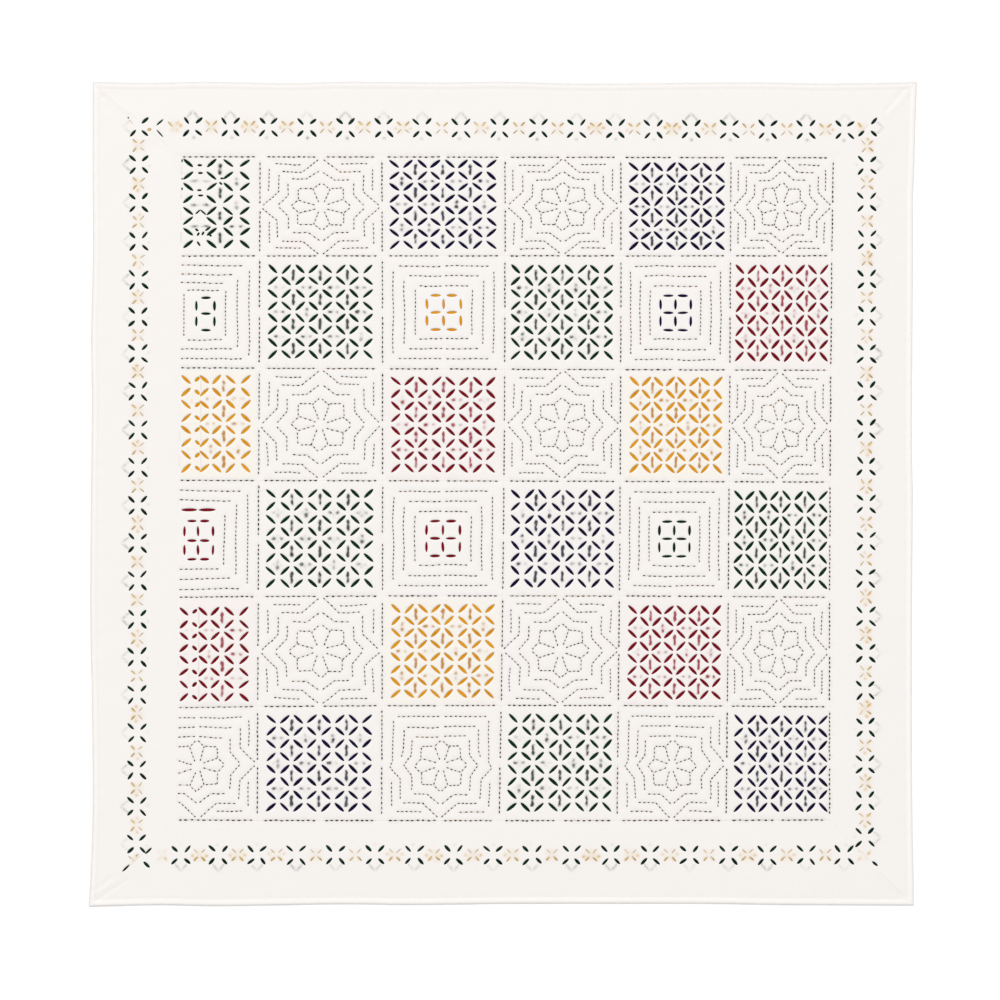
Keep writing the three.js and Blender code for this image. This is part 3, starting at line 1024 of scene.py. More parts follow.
@dataclass(frozen=True)
class Slit:
    """A leaf-shaped cut."""

    x: float
    y: float
    length: float
    width: float
    angle: float

    def own(self, points: Points) -> tuple[np.ndarray, np.ndarray]:
        """Measures how far along and aside of the slit each point is.

        Args:
            points: Points in millimetres.

        Returns:
            The two distances from its middle.
        """
        away = points - (self.x, self.y)
        cosine, sine = math.cos(self.angle), math.sin(self.angle)
        return (away[:, 0] * cosine + away[:, 1] * sine, away[:, 1] * cosine - away[:, 0] * sine)

    def distance(self, points: Points) -> np.ndarray:
        """Measures how far outside the cut each point is.

        Args:
            points: Points in millimetres.

        Returns:
            The distances; less than zero is inside.
        """
        along, aside = (np.abs(part) for part in self.own(points))
        share = np.minimum(2 * along / self.length, 1.0)
        wide = self.width / 2 * (1 - share ** 2.4) ** 0.65
        past = np.maximum(along - self.length / 2, 0.0)
        beside = aside - wide
        return np.where(past > 0, np.hypot(past, aside), beside * 0.94)

    def loop(self, grow: float, count: int) -> Points:
        """An outline round the cut.

        Args:
            grow: How far outside the cut it runs.
            count: How many points it has.

        Returns:
            The points, clockwise.
        """
        turn = -np.linspace(0.0, 2 * math.pi, count, endpoint=False)
        share = np.cos(turn)
        wide = (1 - np.abs(share) ** 2.4) ** 0.65 * np.sign(np.sin(turn))
        own = np.stack([share * (self.length / 2 + grow), wide * (self.width / 2 + grow)], axis=1)
        cosine, sine = math.cos(self.angle), math.sin(self.angle)
        return own @ np.array([[cosine, sine], [-sine, cosine]]) + (self.x, self.y)


def nearest_cut(slits: Sequence[Slit], points: Points) -> np.ndarray:
    """Measures how far each point is from the nearest cut.

    Args:
        slits: The cuts.
        points: Points in millimetres.

    Returns:
        The distances; less than zero is inside a cut.
    """
    if not slits:
        return np.full(len(points), FAR)
    return np.min([slit.distance(points) for slit in slits], axis=0)


class StitchRun:
    """One row of running stitches."""

    def __init__(self, path: Points, pitch: float = 0.0, dash: float = 0.0, scale: float = 1.0) -> None:
        """Spaces the stitches along the path; they are longer in level rows than in upright ones.

        Args:
            path: The line that is sewn.
            pitch: From one stitch to the next, or 0 for the usual pitch.
            dash: A stitch's length, or 0 for the usual one.
            scale: Makes the usual stitches longer or shorter.
        """
        self.trail = Trail(path)
        level = float(np.abs(np.diff(self.trail.points[:, 0])).sum()) / max(self.trail.length, 1e-6)
        hand = scale * (1 + 0.07 * math.sin(float(self.trail.points[0] @ (0.37, 0.23))))
        pitch = pitch or (12.3 + 2.9 * level) * hand
        self.dash = min(dash or (6.0 + 1.6 * level) * hand, self.trail.length)
        count = max(1, round((self.trail.length - self.dash) / pitch))
        self.pitch = max((self.trail.length - self.dash) / count, 1.0)
        self.centres = self.dash / 2 + np.arange(count + 1) * self.pitch

    def samples(self, step: float) -> tuple[Points, np.ndarray]:
        """Points along the run, and each one's place between two stitches, from 0 to 1."""
        distances = np.arange(0.0, self.trail.length + step / 2, step)
        return self.trail.at(distances), (distances - self.dash / 2) / self.pitch % 1.0


def tree_of(points: Points) -> kdtree.KDTree:
    """Sorts points so that the nearest one is found fast.

    Args:
        points: Points in millimetres.

    Returns:
        A tree that gives their numbers.
    """
    tree = kdtree.KDTree(max(1, len(points)))
    for i, (x, y) in enumerate(points):
        tree.insert((x, y, 0.0), i)
    tree.balance()
    return tree


class StitchRuns:
    """All the rows of stitches that go through one cloth."""

    def __init__(self, runs: Sequence[StitchRun]) -> None:
        """Samples the rows.

        Args:
            runs: The rows.
        """
        self.runs = list(runs)
        pairs = [run.samples(1.6) for run in self.runs]
        self.points = np.vstack([points for points, _ in pairs]) if pairs else np.zeros((0, 2))
        self.phases = np.concatenate([phases for _, phases in pairs]) if pairs else np.zeros(0)
        self.tree = tree_of(self.points)

    def nearest(self, points: Points) -> tuple[np.ndarray, np.ndarray]:
        """Finds the nearest row.

        Args:
            points: Points in millimetres.

        Returns:
            The distance to the row, and the place between two of its stitches.
        """
        if not self.runs:
            return np.full(len(points), FAR), np.zeros(len(points))
        found = [self.tree.find((x, y, 0.0)) for x, y in points]
        distances = np.array([hit[2] for hit in found])
        return distances, self.phases[[hit[1] for hit in found]]


class Unevenness:
    """Slow waves that keep a cloth from lying like glass."""

    def __init__(self, seed: int, height: float, shortest: float, longest: float) -> None:
        """Draws the waves.

        Args:
            seed: Picks them.
            height: About how high they are together.
            shortest: The shortest one's length.
            longest: The longest one's length.
        """
        draw = np.random.default_rng(seed)
        count = 9
        lengths = draw.uniform(shortest, longest, count)
        angles = draw.uniform(0, 2 * math.pi, count)
        self.waves = np.stack([np.cos(angles), np.sin(angles)], axis=1) * (2 * math.pi / lengths)[:, None]
        self.phases = draw.uniform(0, 2 * math.pi, count)
        self.height = height / math.sqrt(count)

    def at(self, points: Points) -> Heights:
        """The height that the waves add at each point."""
        return np.sin(points @ self.waves.T + self.phases).sum(axis=1) * self.height


def in_scene(name: str, data: bpy.types.ID) -> Piece:
    """Puts a mesh, a camera or a light into the scene.

    Args:
        name: The object's name.
        data: What it shows.

    Returns:
        The object.
    """
    made = bpy.data.objects.new(name, data)
    bpy.context.scene.collection.objects.link(made)
    return made


class MeshParts:
    """Vertices and triangles that are gathered into one object."""

    def __init__(self) -> None:
        """Starts empty."""
        self.vertices: list[np.ndarray] = []
        self.faces: list[np.ndarray] = []
        self.values: list[Values] = []
        self.count = 0

    def add(self, vertices: np.ndarray, faces: np.ndarray, values: Optional[Values] = None) -> None:
        """Adds a part.

        Args:
            vertices: Rows of x, y and z, in millimetres.
            faces: Rows of three vertex numbers.
            values: What each vertex carries, by name.
        """
        self.vertices.append(np.asarray(vertices, dtype=float))
        self.faces.append(np.asarray(faces, dtype=np.int64) + self.count)
        self.values.append(values or {})
        self.count += len(vertices)

    def made(self, name: str, material: Material) -> Piece:
        """Makes the object, which rides on the cover.

        Args:
            name: The object's name.
            material: Its finish.

        Returns:
            The object.
        """
        vertices = np.vstack(self.vertices)
        vertices[:, :2] += LAYOUT_SHIFT
        mesh = bpy.data.meshes.new(name)
        mesh.from_pydata((vertices * MM).tolist(), [], np.vstack(self.faces).tolist())
        for key in self.values[0]:
            together = np.concatenate([values[key] for values in self.values])
            kind, slot = ("FLOAT", "value") if together.ndim == 1 else ("FLOAT_VECTOR", "vector")
            layer = mesh.attributes.new(key, kind, "POINT")
            layer.data.foreach_set(slot, together.astype(np.float32).ravel())
        mesh.validate()
        mesh.shade_smooth()
        mesh.materials.append(material)
        piece = in_scene(name, mesh)
        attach(piece, "root")
        return piece


def spread_out(points: Points, taken: Points, distance: float) -> Points:
    """Keeps the points that are clear of others.

    Args:
        points: The points that may be kept.
        taken: The points that they keep away from.
        distance: How far away they keep.

    Returns:
        The points that are kept.
    """
    if not len(points) or not len(taken):
        return points
    tree = tree_of(taken)
    return points[[tree.find((x, y, 0.0))[2] >= distance for x, y in points]]


def joined(points: Points, edges: Sequence[tuple[int, int]]) -> tuple[Points, np.ndarray, list[list[int]]]:
    """Joins points into triangles.

    Args:
        points: Points in millimetres.
        edges: Pairs of point numbers, whose edges are kept.

    Returns:
        The points, with new ones where edges cross; rows of three point numbers; and the numbers of
        the given points that each one stands for.
    """
    rows = [Vector(point) for point in points.tolist()]
    found, _, faces, sources, _, _ = delaunay_2d_cdt(rows, edges, [], 1, 1e-5, True)
    return np.array([point[:] for point in found]), np.array([face[:] for face in faces]), sources


def doubled_areas(points: Points, faces: np.ndarray) -> np.ndarray:
    """Twice the area of each triangle, less than zero where it faces down."""
    a, b, c = (points[faces[:, i]] for i in range(3))
    return (b[:, 0] - a[:, 0]) * (c[:, 1] - a[:, 1]) - (b[:, 1] - a[:, 1]) * (c[:, 0] - a[:, 0])


@dataclass
class CutCloth:
    """Fills a cloth with triangles, finer round its cuts and its rows of stitches."""

    shape: Shape
    slits: Sequence[Slit]
    stitches: StitchRuns
    spacing: float = 9.0
    edge_step: float = 7.0
    details: Points = field(default_factory=lambda: np.zeros((0, 2)))

    def clear(self, points: Points, inside: float, apart: float) -> Points:
        """Keeps the points this far inside the outline and this far from every cut."""
        return points[(self.shape.depth(points) > inside) & (nearest_cut(self.slits, points) > apart)]

    def rim_points(self) -> Points:
        """Rings of points round every cut, given by how far outside it they are and their count."""
        rings = ((0.5, 18), (1.25, 18), (2.5, 14), (4.4, 12))
        return np.vstack([np.zeros((0, 2)), *(slit.loop(*ring) for slit in self.slits for ring in rings)])

    def sewn_points(self) -> Points:
        """Lays points on and beside the rows of stitches, and round their ends.

        Returns:
            The points.
        """
        kept = np.zeros((0, 2))
        for run in self.stitches.runs:
            kept = np.vstack([kept, spread_out(run.trail.spaced(run.pitch / 4), kept, 1.6)])
        for aside in (-2.7, 2.7):
            for run in self.stitches.runs:
                on_line = run.trail.spaced(run.pitch / 2)
                ahead = of_length_one(np.gradient(on_line, axis=0))
                beside = on_line + left_of(ahead) * aside
                caps = [on_line[0] - ahead[0] * reach for reach in (1.5, 3.2)]
                caps += [on_line[-1] + ahead[-1] * reach for reach in (1.5, 3.2)]
                caps += [beside[0] - ahead[0] * 2.4, beside[-1] + ahead[-1] * 2.4]
                kept = np.vstack([kept, spread_out(beside, kept, 2.1)])
                kept = np.vstack([kept, spread_out(np.array(caps), kept, 1.4)])
        return kept

    def grid_points(self, outline: Points) -> Points:
        """Lays an even grid over the whole cloth, with every other row set aside.

        Args:
            outline: The cloth's outline.

        Returns:
            The grid's points.
        """
        low, high = outline.min(axis=0), outline.max(axis=0)
        columns = np.arange(low[0], high[0], self.spacing)
        rows = np.arange(low[1], high[1], self.spacing * 0.87)
        x, y = np.meshgrid(columns, rows)
        x = x + (np.arange(len(rows)) % 2 * self.spacing / 2)[:, None]
        return np.stack([x.ravel(), y.ravel()], axis=1)

    def filled(self) -> tuple[Points, np.ndarray]:
        """Lays the points out and joins them.

        Returns:
            The points, and rows of three point numbers.
        """
        outline = self.shape.loop(self.edge_step)
        loops = [outline, *(slit.loop(0.0, 18) for slit in self.slits)]
        edges, start = [], 0
        for loop in loops:
            numbers = np.arange(start, start + len(loop))
            edges.extend(zip(numbers.tolist(), np.roll(numbers, -1).tolist()))
            start += len(loop)
        rims = self.clear(self.rim_points(), 0.4, 0.3)
        folds = self.clear(np.vstack([drawn_in(outline, 0.7), drawn_in(outline, 2.0)]), 0.3, 1.0)
        free = np.vstack([rims, spread_out(folds, rims, 0.8)])
        sewn = self.clear(self.sewn_points(), 0.9, 2.0)
        free = np.vstack([free, spread_out(sewn, np.vstack([free, outline]), 1.3)])
        free = np.vstack([free, spread_out(self.clear(self.details, 2.8, 5.0), free, 2.6)])
        grid = self.clear(self.grid_points(outline), 3.5, 5.0)
        free = np.vstack([free, spread_out(grid, free, self.spacing * 0.55)])
        points, faces, _ = joined(np.vstack([*loops, free]), edges)
        return points, self.kept(points, faces)

    def kept(self, points: Points, faces: np.ndarray) -> np.ndarray:
        """Drops the triangles in the cuts or outside the cloth, and turns the others face up.

        Args:
            points: Points in millimetres.
            faces: Rows of three point numbers.

        Returns:
            The rows that are left.
        """
        middles = points[faces].mean(axis=1)
        faces = faces[(nearest_cut(self.slits, middles) > -0.03) & (self.shape.depth(middles) > -0.02)]
        turn = doubled_areas(points, faces)
        faces[turn < 0] = faces[turn < 0][:, ::-1]
        return faces[np.abs(turn) > 1e-7]

    def made(
        self, name: str, material: Material, height: Relief, values: Callable[[Points], Values]
    ) -> Piece:
        """Makes the cloth, with its edge turned down to the layer below.

        Args:
            name: The object's name.
            material: Its finish.
            height: Gives the height at points.
            values: Gives what the points carry.

        Returns:
            The object.
        """
        points, faces = self.filled()
        tops = np.column_stack([points, height(points)])
        sides = np.vstack([faces[:, [0, 1]], faces[:, [1, 2]], faces[:, [2, 0]]])
        keys = np.sort(sides, axis=1)
        _, first, counts = np.unique(keys, axis=0, return_index=True, return_counts=True)
        rim = sides[first[counts == 1]]
        rim = rim[self.shape.depth(points[rim].mean(axis=1)) < 0.25]
        used, numbers = np.unique(rim, return_inverse=True)
        numbers = numbers.reshape(rim.shape) + len(tops)
        lows = np.column_stack([points[used], np.full(len(used), SKIRT_BOTTOM)])
        skirt = np.vstack([
            np.column_stack([rim[:, 0], numbers[:, 0], numbers[:, 1]]),
            np.column_stack([rim[:, 0], numbers[:, 1], rim[:, 1]]),
        ])
        parts = MeshParts()
        together = np.vstack([tops, lows])
        parts.add(together, np.vstack([faces, skirt]), values(together[:, :2]))
        piece = parts.made(name, material)
        piece.data.set_sharp_from_angle(angle=math.radians(SHARP_EDGE))
        return piece


@dataclass
class StitchWork:
    """Turns rows of stitches into thread on a cloth."""

    seed: int
    width: float = 3.8
    rise: float = 1.0
    stray: float = 0.45

    def add(self, parts: MeshParts, runs: Sequence[StitchRun], height: Relief) -> None:
        """Adds every stitch of these rows.

        Args:
            parts: What they are added to.
            runs: The rows.
            height: Gives the cloth's height at points.
        """
        draw = np.random.default_rng(self.seed)
        stations = np.array([-1.0, -0.6, 0.0, 0.6, 1.0])
        widths = np.array([0.45, 0.95, 1.0, 0.95, 0.45]) * self.width / 2
        lifts = np.array([0.0, 0.8, 1.0, 0.8, 0.0]) * self.rise
        for run in runs:
            count = len(run.centres)
            centres = run.centres + draw.normal(0, run.pitch * 0.045, count)
            halves = run.dash / 2 * draw.uniform(0.8, 1.15, count)
            places = np.clip(centres[:, None] + halves[:, None] * stations, 0, run.trail.length)
            points = run.trail.at(places.ravel()).reshape(count, 5, 2)
            aside = left_of(of_length_one(points[:, -1] - points[:, 0]))
            points = points + (aside * draw.normal(0, self.stray, count)[:, None])[:, None, :]
            tops = height(points.reshape(-1, 2)).reshape(count, 5)
            size = draw.uniform(0.78, 1.14, count)
            rows = []
            for reach, lift in ((-1.0, 0.0), (0.0, 1.0), (1.0, 0.0)):
                shift = aside[:, None, :] * (reach * widths * size[:, None])[..., None]
                z = tops + np.where(lift > 0, lifts, -0.05)
                rows.append(np.concatenate([points + shift, z[..., None]], axis=2))
            vertices = np.stack(rows, axis=2).reshape(-1, 3)
            tones = np.repeat(np.clip(draw.beta(1.5, 2.2, count), 0, 1), 15)
            parts.add(vertices, self.faces(count), {"tone": tones})

    @staticmethod
    def faces(count: int) -> np.ndarray:
        """Lists the triangles of stitches, each of five stations of three points.

        Args:
            count: How many stitches there are.

        Returns:
            Rows of three vertex numbers.
        """
        one = []
        for station in range(4):
            for strip in range(2):
                a = station * 3 + strip
                one.extend([(a, a + 4, a + 1), (a, a + 3, a + 4)])
        return (np.array(one)[None] + (np.arange(count) * 15)[:, None, None]).reshape(-1, 3)


def flat_pad(parts: MeshParts, corners: Points, top: float, cells: int, unevenness: Unevenness) -> None:
    """Adds a flat four-cornered cloth with its edge turned down.

    Args:
        parts: What it is added to.
        corners: Its corners, anticlockwise.
        top: The height of its top.
        cells: How many cells it has each way.
        unevenness: The waves on it.
    """
    steps = np.linspace(-1.0, 1.0, cells + 1)
    u, v = np.meshgrid(steps, steps)
    points = QuadShape(corners).at(np.stack([u.ravel(), v.ravel()], axis=1))
    heights = top + unevenness.at(points)
    side = cells + 1
    number = np.arange(side * side).reshape(side, side)
    a, b, c, d = number[:-1, :-1], number[:-1, 1:], number[1:, 1:], number[1:, :-1]
    quads = np.stack([a, b, c, d], axis=-1).reshape(-1, 4)
    faces = [quads[:, [0, 1, 2]], quads[:, [0, 2, 3]]]
    rim = np.concatenate([number[0, :-1], number[:-1, -1], number[-1, :0:-1], number[:0:-1, 0]])
    low = np.arange(len(rim)) + side * side
    next_rim, next_low = np.roll(rim, -1), np.roll(low, -1)
    faces += [np.column_stack([rim, low, next_low]), np.column_stack([rim, next_low, next_rim])]
    bottoms = np.column_stack([points[rim], np.full(len(rim), SKIRT_BOTTOM)])
    parts.add(np.vstack([np.column_stack([points, heights]), bottoms]), np.vstack(faces))


def laid_patch(
    parts: MeshParts, name: str, finish: Material, dye: Dye, node: str = ""
) -> Piece:
    """Makes a coloured cloth that lies on the back.

    Args:
        parts: Its mesh.
        name: The piece's name.
        finish: Its finish.
        dye: Its colour; not used.
        node: The solid that it takes the place of, if there is one.

    Returns:
        The piece.
    """
    piece = parts.made(name, finish)
    if node:
        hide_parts(node)
    return piece


@dataclass(frozen=True)
class SeamSewing:
    """The rows of stitches along the seams between blocks."""

    corner_gap: float = 0.055
    middle_gap: float = 0.04

    def between(self, start: np.ndarray, end: np.ndarray, seed: Sequence[int]) -> list[StitchRun]:
        """Two rows that leave a gap at the corners and in the middle.

        Args:
            start: Where the seam's piece starts.
            end: Where it ends.
            seed: Picks the small differences.

        Returns:
            The rows.
        """
        draw = np.random.default_rng(list(seed))
        made = []
        halves = ((self.corner_gap, 0.5 - self.middle_gap), (0.5 + self.middle_gap, 1 - self.corner_gap))
        for low, high in halves:
            low, high = low + draw.uniform(-0.012, 0.012), high + draw.uniform(-0.012, 0.012)
            made.append(StitchRun(np.array([start + (end - start) * low, start + (end - start) * high])))
        return made

    def level(self, row: int, column: int) -> list[StitchRun]:
        """Sews along a level seam, above a block; a trimmed block's is one row from the border.

        Args:
            row: The seam, counted from the head.
            column: The block's column.

        Returns:
            The rows.
        """
        start, end = seam_corner(row, column), seam_corner(row, column + 1)
        if column == 0:
            return [StitchRun(np.array([start + (end - start) * 0.025, start + (end - start) * 0.94]))]
        return self.between(start, end, (1, row, column))

    def upright(self, row: int, column: int) -> list[StitchRun]:
        """Sews along an upright seam, west of a block; the border's own seam has none.

        Args:
            row: The block's row.
            column: The seam, counted from the west.

        Returns:
            The rows.
        """
        if column == 0:
            return []
        return self.between(seam_corner(row, column), seam_corner(row + 1, column), (2, row, column))


SEAMS = SeamSewing()


@dataclass
class BlockTop:
    """The white top of one block."""

    row: int
    column: int
    dye: Optional[Dye]
    finishes: Wardrobe
    slits: list[Slit] = field(default_factory=list)

    kind_word = "plain"
    stitch_scale = 1.0

    def __post_init__(self) -> None:
        """Lays the block out."""
        self.shape = QuadShape(block_corners(self.row, self.column))
        self.whole = QuadShape(block_corners(self.row, self.column, trimmed=False))
        self.seed = self.row * 10 + self.column
        self.unevenness = Unevenness(100 + self.seed, 0.16, 35.0, 120.0)
        self.wander = [Unevenness(2000 + 2 * self.seed + i, 1.25, 80.0, 200.0) for i in (0, 1)]
        self.slits = self.cut()
        self.own_runs = self.trimmed_runs(self.design())
        self.seam_runs = [
            *SEAMS.level(self.row, self.column),
            *SEAMS.level(self.row + 1, self.column),
            *SEAMS.upright(self.row, self.column),
            *SEAMS.upright(self.row, self.column + 1),
        ]
        self.stitches = StitchRuns(self.own_runs + self.seam_runs)

    @property
    def place(self) -> str:
        """The block's row and column as in the model's names."""
        return f"row{self.row + 1}_col{self.column + 1}"

    def cut(self) -> list[Slit]:
        """The block's cuts."""
        return []

    def design(self) -> list[Points]:
        """The paths of the block's own stitches."""
        return []

    def path(self, places: Sequence[tuple[float, float]]) -> Points:
        """Turns places in the whole block's u and v into a path."""
        return self.whole.at(np.array(places, dtype=float))

    def trimmed_runs(self, paths: Sequence[Points]) -> list[StitchRun]:
        """Cuts the paths off at the border seam.

        Args:
            paths: The paths of the whole block.

        Returns:
            The rows that are left.
        """
        made = []
        for path in paths:
            points = Trail(path).spaced(2.0)
            points = points + np.stack([wave.at(points) for wave in self.wander], axis=1)
            kept = np.flatnonzero(self.shape.depth(points) > 2.5)
            part = points[kept[0]:kept[-1] + 1] if len(kept) else points[:0]
            if len(part) > 4:
                made.append(StitchRun(part, scale=self.stitch_scale))
        return made

    def slit_relief(self, points: Points) -> Heights:
        """How the cloth turns down into the cuts and rises beside them."""
        return np.interp(nearest_cut(self.slits, points), RIM_KNOTS, [-1.3, -0.45, 0.02, 0.14, 0.03, 0.0])

    def edge_relief(self, points: Points) -> Heights:
        """How the cloth's edge turns down at the seam."""
        return np.interp(self.shape.depth(points), [0.0, 0.7, 2.0], [-0.12, -0.04, 0.0])

    def base(self, distance: np.ndarray, points: Points) -> Heights:
        """The height before cuts and stitches."""
        return PLAIN_TROUGH + PLAIN_PUFF * (1 - np.exp(-(distance / 8.5) ** 2))

    def height(self, points: Points) -> Heights:
        """Adds up the height of the cloth.

        Args:
            points: Points in millimetres.

        Returns:
            The heights.
        """
        distance, phase = self.stitches.nearest(points)
        pull = np.exp(-(distance / 2.4) ** 2)
        ripple = np.exp(-(distance / 5.0) ** 2) * np.cos(2 * math.pi * phase)
        sewn = -0.35 * pull + 0.16 * ripple
        relief = self.base(distance, points) + sewn + self.slit_relief(points)
        return relief + self.edge_relief(points) + self.unevenness.at(points)

    def values(self, points: Points) -> Values:
        """What the points carry: how strongly dark thread shows through, with painted shade in the stitch
        troughs.
        """
        distance, _ = self.stitches.nearest(points)
        # Thread showing through, and painted shade in the stitch trough round each row
        return {"thread_and_painted_shade": np.exp(-(distance / 1.8) ** 2)}

    def finish(self) -> Material:
        """The top's finish."""
        return self.finishes.plain

    def patch(self) -> Optional[Piece]:
        """The coloured cloth under the cuts."""
        return None

    def build(self, back: Piece) -> Piece:
        """Makes the top and what goes with it.

        Args:
            back: The back cloth, which it rests on; not used.

        Returns:
            The top.
        """
        under = self.patch()
        cloth = CutCloth(self.shape, self.slits, self.stitches)
        name = f"{self.kind_word}_top_{self.place}"
        top = cloth.made(name, self.finish(), self.height, self.values)
        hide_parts(f"{self.kind_word}_{self.place}")
        width, length = self.shape.size
        area = plan_area(self.shape.corners) * MM * MM
        self.sew()
        LOG.info("%s: %d triangles, %d cuts", name, len(top.data.polygons), len(self.slits))
        return top

    def sew(self) -> None:
        """Makes the block's stitches, with those of its north and west seams."""
        runs = [*self.own_runs, *SEAMS.level(self.row, self.column), *SEAMS.upright(self.row, self.column)]
        if self.row == LAST_ROW - 1:
            runs += SEAMS.level(LAST_ROW, self.column)
        if self.column == LAST_COLUMN - 1:
            runs += SEAMS.upright(self.row, LAST_COLUMN)
        parts = MeshParts()
        StitchWork(self.seed).add(parts, runs, self.sewn_height)
        parts.made(f"stitches_{self.place}", self.finishes.quilting)

    def sewn_height(self, points: Points) -> Heights:
        """The height that the thread lies at, level across a seam."""
        inner = self.whole.at(np.clip(self.whole.places(points), -0.985, 0.985))
        return self.height(inner)


@dataclass
class LeafBlock(BlockTop):
    """A block that is cut into a lattice of leaves over a coloured patch."""

    leaf_length: float = 35.0
    leaf_width: float = 8.6
    patch_share: float = 0.985

    kind_word = "leaf"

    # The trimmed blocks' own columns: x, whether the first leaf leans the other way, share of length
    trimmed_columns = {
        0: ((-859.7, 0, 1.0), (-795.6, 1, 1.0), (-750.2, 0, 1.0), (-705.1, 1, 1.0)),
        2: (
            (-865.2, 0, 1.0), (-834.5, 1, 0.5), (-815.6, 0, 0.95),
            (-781.7, 1, 0.97), (-743.7, 0, 1.0), (-702.0, 1, 1.0),
        ),
        4: (
            (-871.5, 0, 0.9), (-842.2, 1, 0.5), (-819.5, 0, 0.95),
            (-786.3, 1, 0.97), (-747.8, 0, 1.0), (-706.9, 1, 1.0),
        ),
    }
    trimmed_rows = {
        0: (904.0, 869.8, 838.6, 805.2, 773.2, 745.8, 715.7, 682.0),
        2: (312.0, 277.0, 243.0, 206.9, 174.1, 139.0, 104.8, 69.0),
        4: (-322.7, -358.0, -390.0, -423.4, -455.7, -488.8, -522.5, -557.8),
    }
    # Short cuts left where the first block's lattice was folded away: x, y, length, width, degrees
    fragments = (
        (-828.2, 898.0, 13, 6.5, 0), (-826.3, 876.6, 14, 6, 0), (-829.3, 829.6, 13, 5.5, 0),
        (-825.5, 815.1, 15, 5.5, 0), (-833.2, 770.2, 18, 4.6, 42), (-818.7, 769.1, 23, 4.8, -40),
        (-836.2, 721.2, 11, 6, -35), (-832.3, 709.4, 11, 6, 60), (-819.5, 711.4, 12, 6, 60),
        (-805.8, 724.2, 19, 6, 38), (-799.0, 705.6, 8, 5.5, -20), (-831.2, 683.2, 16, 5.5, -55),
        (-767.7, 861.9, 9, 5.5, 0), (-770.8, 848.2, 11, 5.5, -40),
        (-876.5, 910.1, 9, 4, 90), (-876.5, 860.8, 5, 4, 0), (-876.5, 833.4, 8, 4, 90),
    )

    def margins(self) -> tuple[float, float, float, float]:
        """The lattice's margins inside the whole block."""
        return LATTICE_MARGINS.get((self.row + 1, self.column + 1), TRIMMED_MARGINS)

    def lattice_box(self) -> tuple[np.ndarray, np.ndarray]:
        """Finds where the lattice lies in its block.

        Returns:
            Its lowest and its highest u and v.
        """
        west, east, north, south = self.margins()
        width, length = self.whole.size
        low = np.array([-1 + 2 * west / width, -1 + 2 * south / length])
        high = np.array([1 - 2 * east / width, 1 - 2 * north / length])
        return low, high

    def cut(self) -> list[Slit]:
        """Cuts the leaves of the lattice.

        Returns:
            The cuts.
        """
        draw = np.random.default_rng(700 + self.seed)
        if self.column == 0:
            return self.trimmed_cuts(draw)
        low, high = self.lattice_box()
        lines = [self.wavering(draw) for _ in range(2)]
        made = []
        for row in range(LATTICE_CELLS):
            for column in range(LATTICE_CELLS):
                share = np.array([lines[0][column], 1 - lines[1][row]])
                centre = self.whole.at((low + (high - low) * share)[None])[0] + draw.normal(0, 0.35, 2)
                lean = -1 if (row + column) % 2 == 0 else 1
                made.append(self.leaf(centre, lean, 1.0, draw))
        return made

    @staticmethod
    def wavering(draw: np.random.Generator) -> np.ndarray:
        """The middles of the lattice's cells, as shares, each a little off."""
        even = (np.arange(LATTICE_CELLS) + 0.5) / LATTICE_CELLS
        return even + draw.normal(0, 0.0028, LATTICE_CELLS)

    def leaf(self, centre: np.ndarray, lean: int, share: float, draw: np.random.Generator) -> Slit:
        """One leaf.

        Args:
            centre: Its middle.
            lean: 1 where it rises to the right, and -1 where it falls.
            share: Its length as a share of a full leaf's.
            draw: Gives the small differences.

        Returns:
            The cut.
        """
        width, length = self.whole.size
        angle = math.atan2(length, width) + draw.normal(0, 0.035)
        long = self.leaf_length * share * draw.uniform(0.96, 1.03)
        wide = self.leaf_width * draw.uniform(0.88, 1.1)
        return Slit(*centre, long, wide, lean * angle)

    def trimmed_cuts(self, draw: np.random.Generator) -> list[Slit]:
        """Cuts the leaves of a trimmed block, whose lattice was partly folded away.

        Args:
            draw: Gives the small differences.

        Returns:
            The cuts.
        """
        made = []
        for number, y in enumerate(self.trimmed_rows[self.row]):
            for x, other, share in self.trimmed_columns[self.row]:
                lean = -1 if (number + other) % 2 == 0 else 1
                centre = np.array([x, y]) + draw.normal(0, 0.4, 2)
                made.append(self.leaf(centre, lean, share, draw))
        if self.row == 0:
            made += [Slit(x, y, long, wide, math.radians(turn)) for x, y, long, wide, turn in self.fragments]
        return made

    def trimmed_lattice(self, points: Points) -> tuple[np.ndarray, np.ndarray]:
        """Finds places in a trimmed block's lattice.

        Args:
            points: Points in millimetres.

        Returns:
            How many cells each is from the whole lattice's west, and from its head.
        """
        across = [x for x, _, _ in self.trimmed_columns[self.row]]
        down = list(self.trimmed_rows[self.row])
        cell = 45.0
        middles = LATTICE_CELLS - len(across) + 0.5 + np.arange(-1, len(across) + 1)
        columns = np.interp(points[:, 0], [across[0] - cell, *across, across[-1] + cell], middles)
        heights = [down[-1] - cell, *down[::-1], down[0] + cell]
        rows = np.interp(points[:, 1], heights, LATTICE_CELLS + 0.5 - np.arange(LATTICE_CELLS + 2))
        return columns, rows

    def base(self, distance: np.ndarray, points: Points) -> Heights:
        """The height before cuts and stitches."""
        edge = self.shape.depth(points)
        return LEAF_FIELD - 0.3 * np.exp(-(edge / 5.0) ** 2) + 0.1 * np.exp(-((edge - 10) / 6) ** 2)

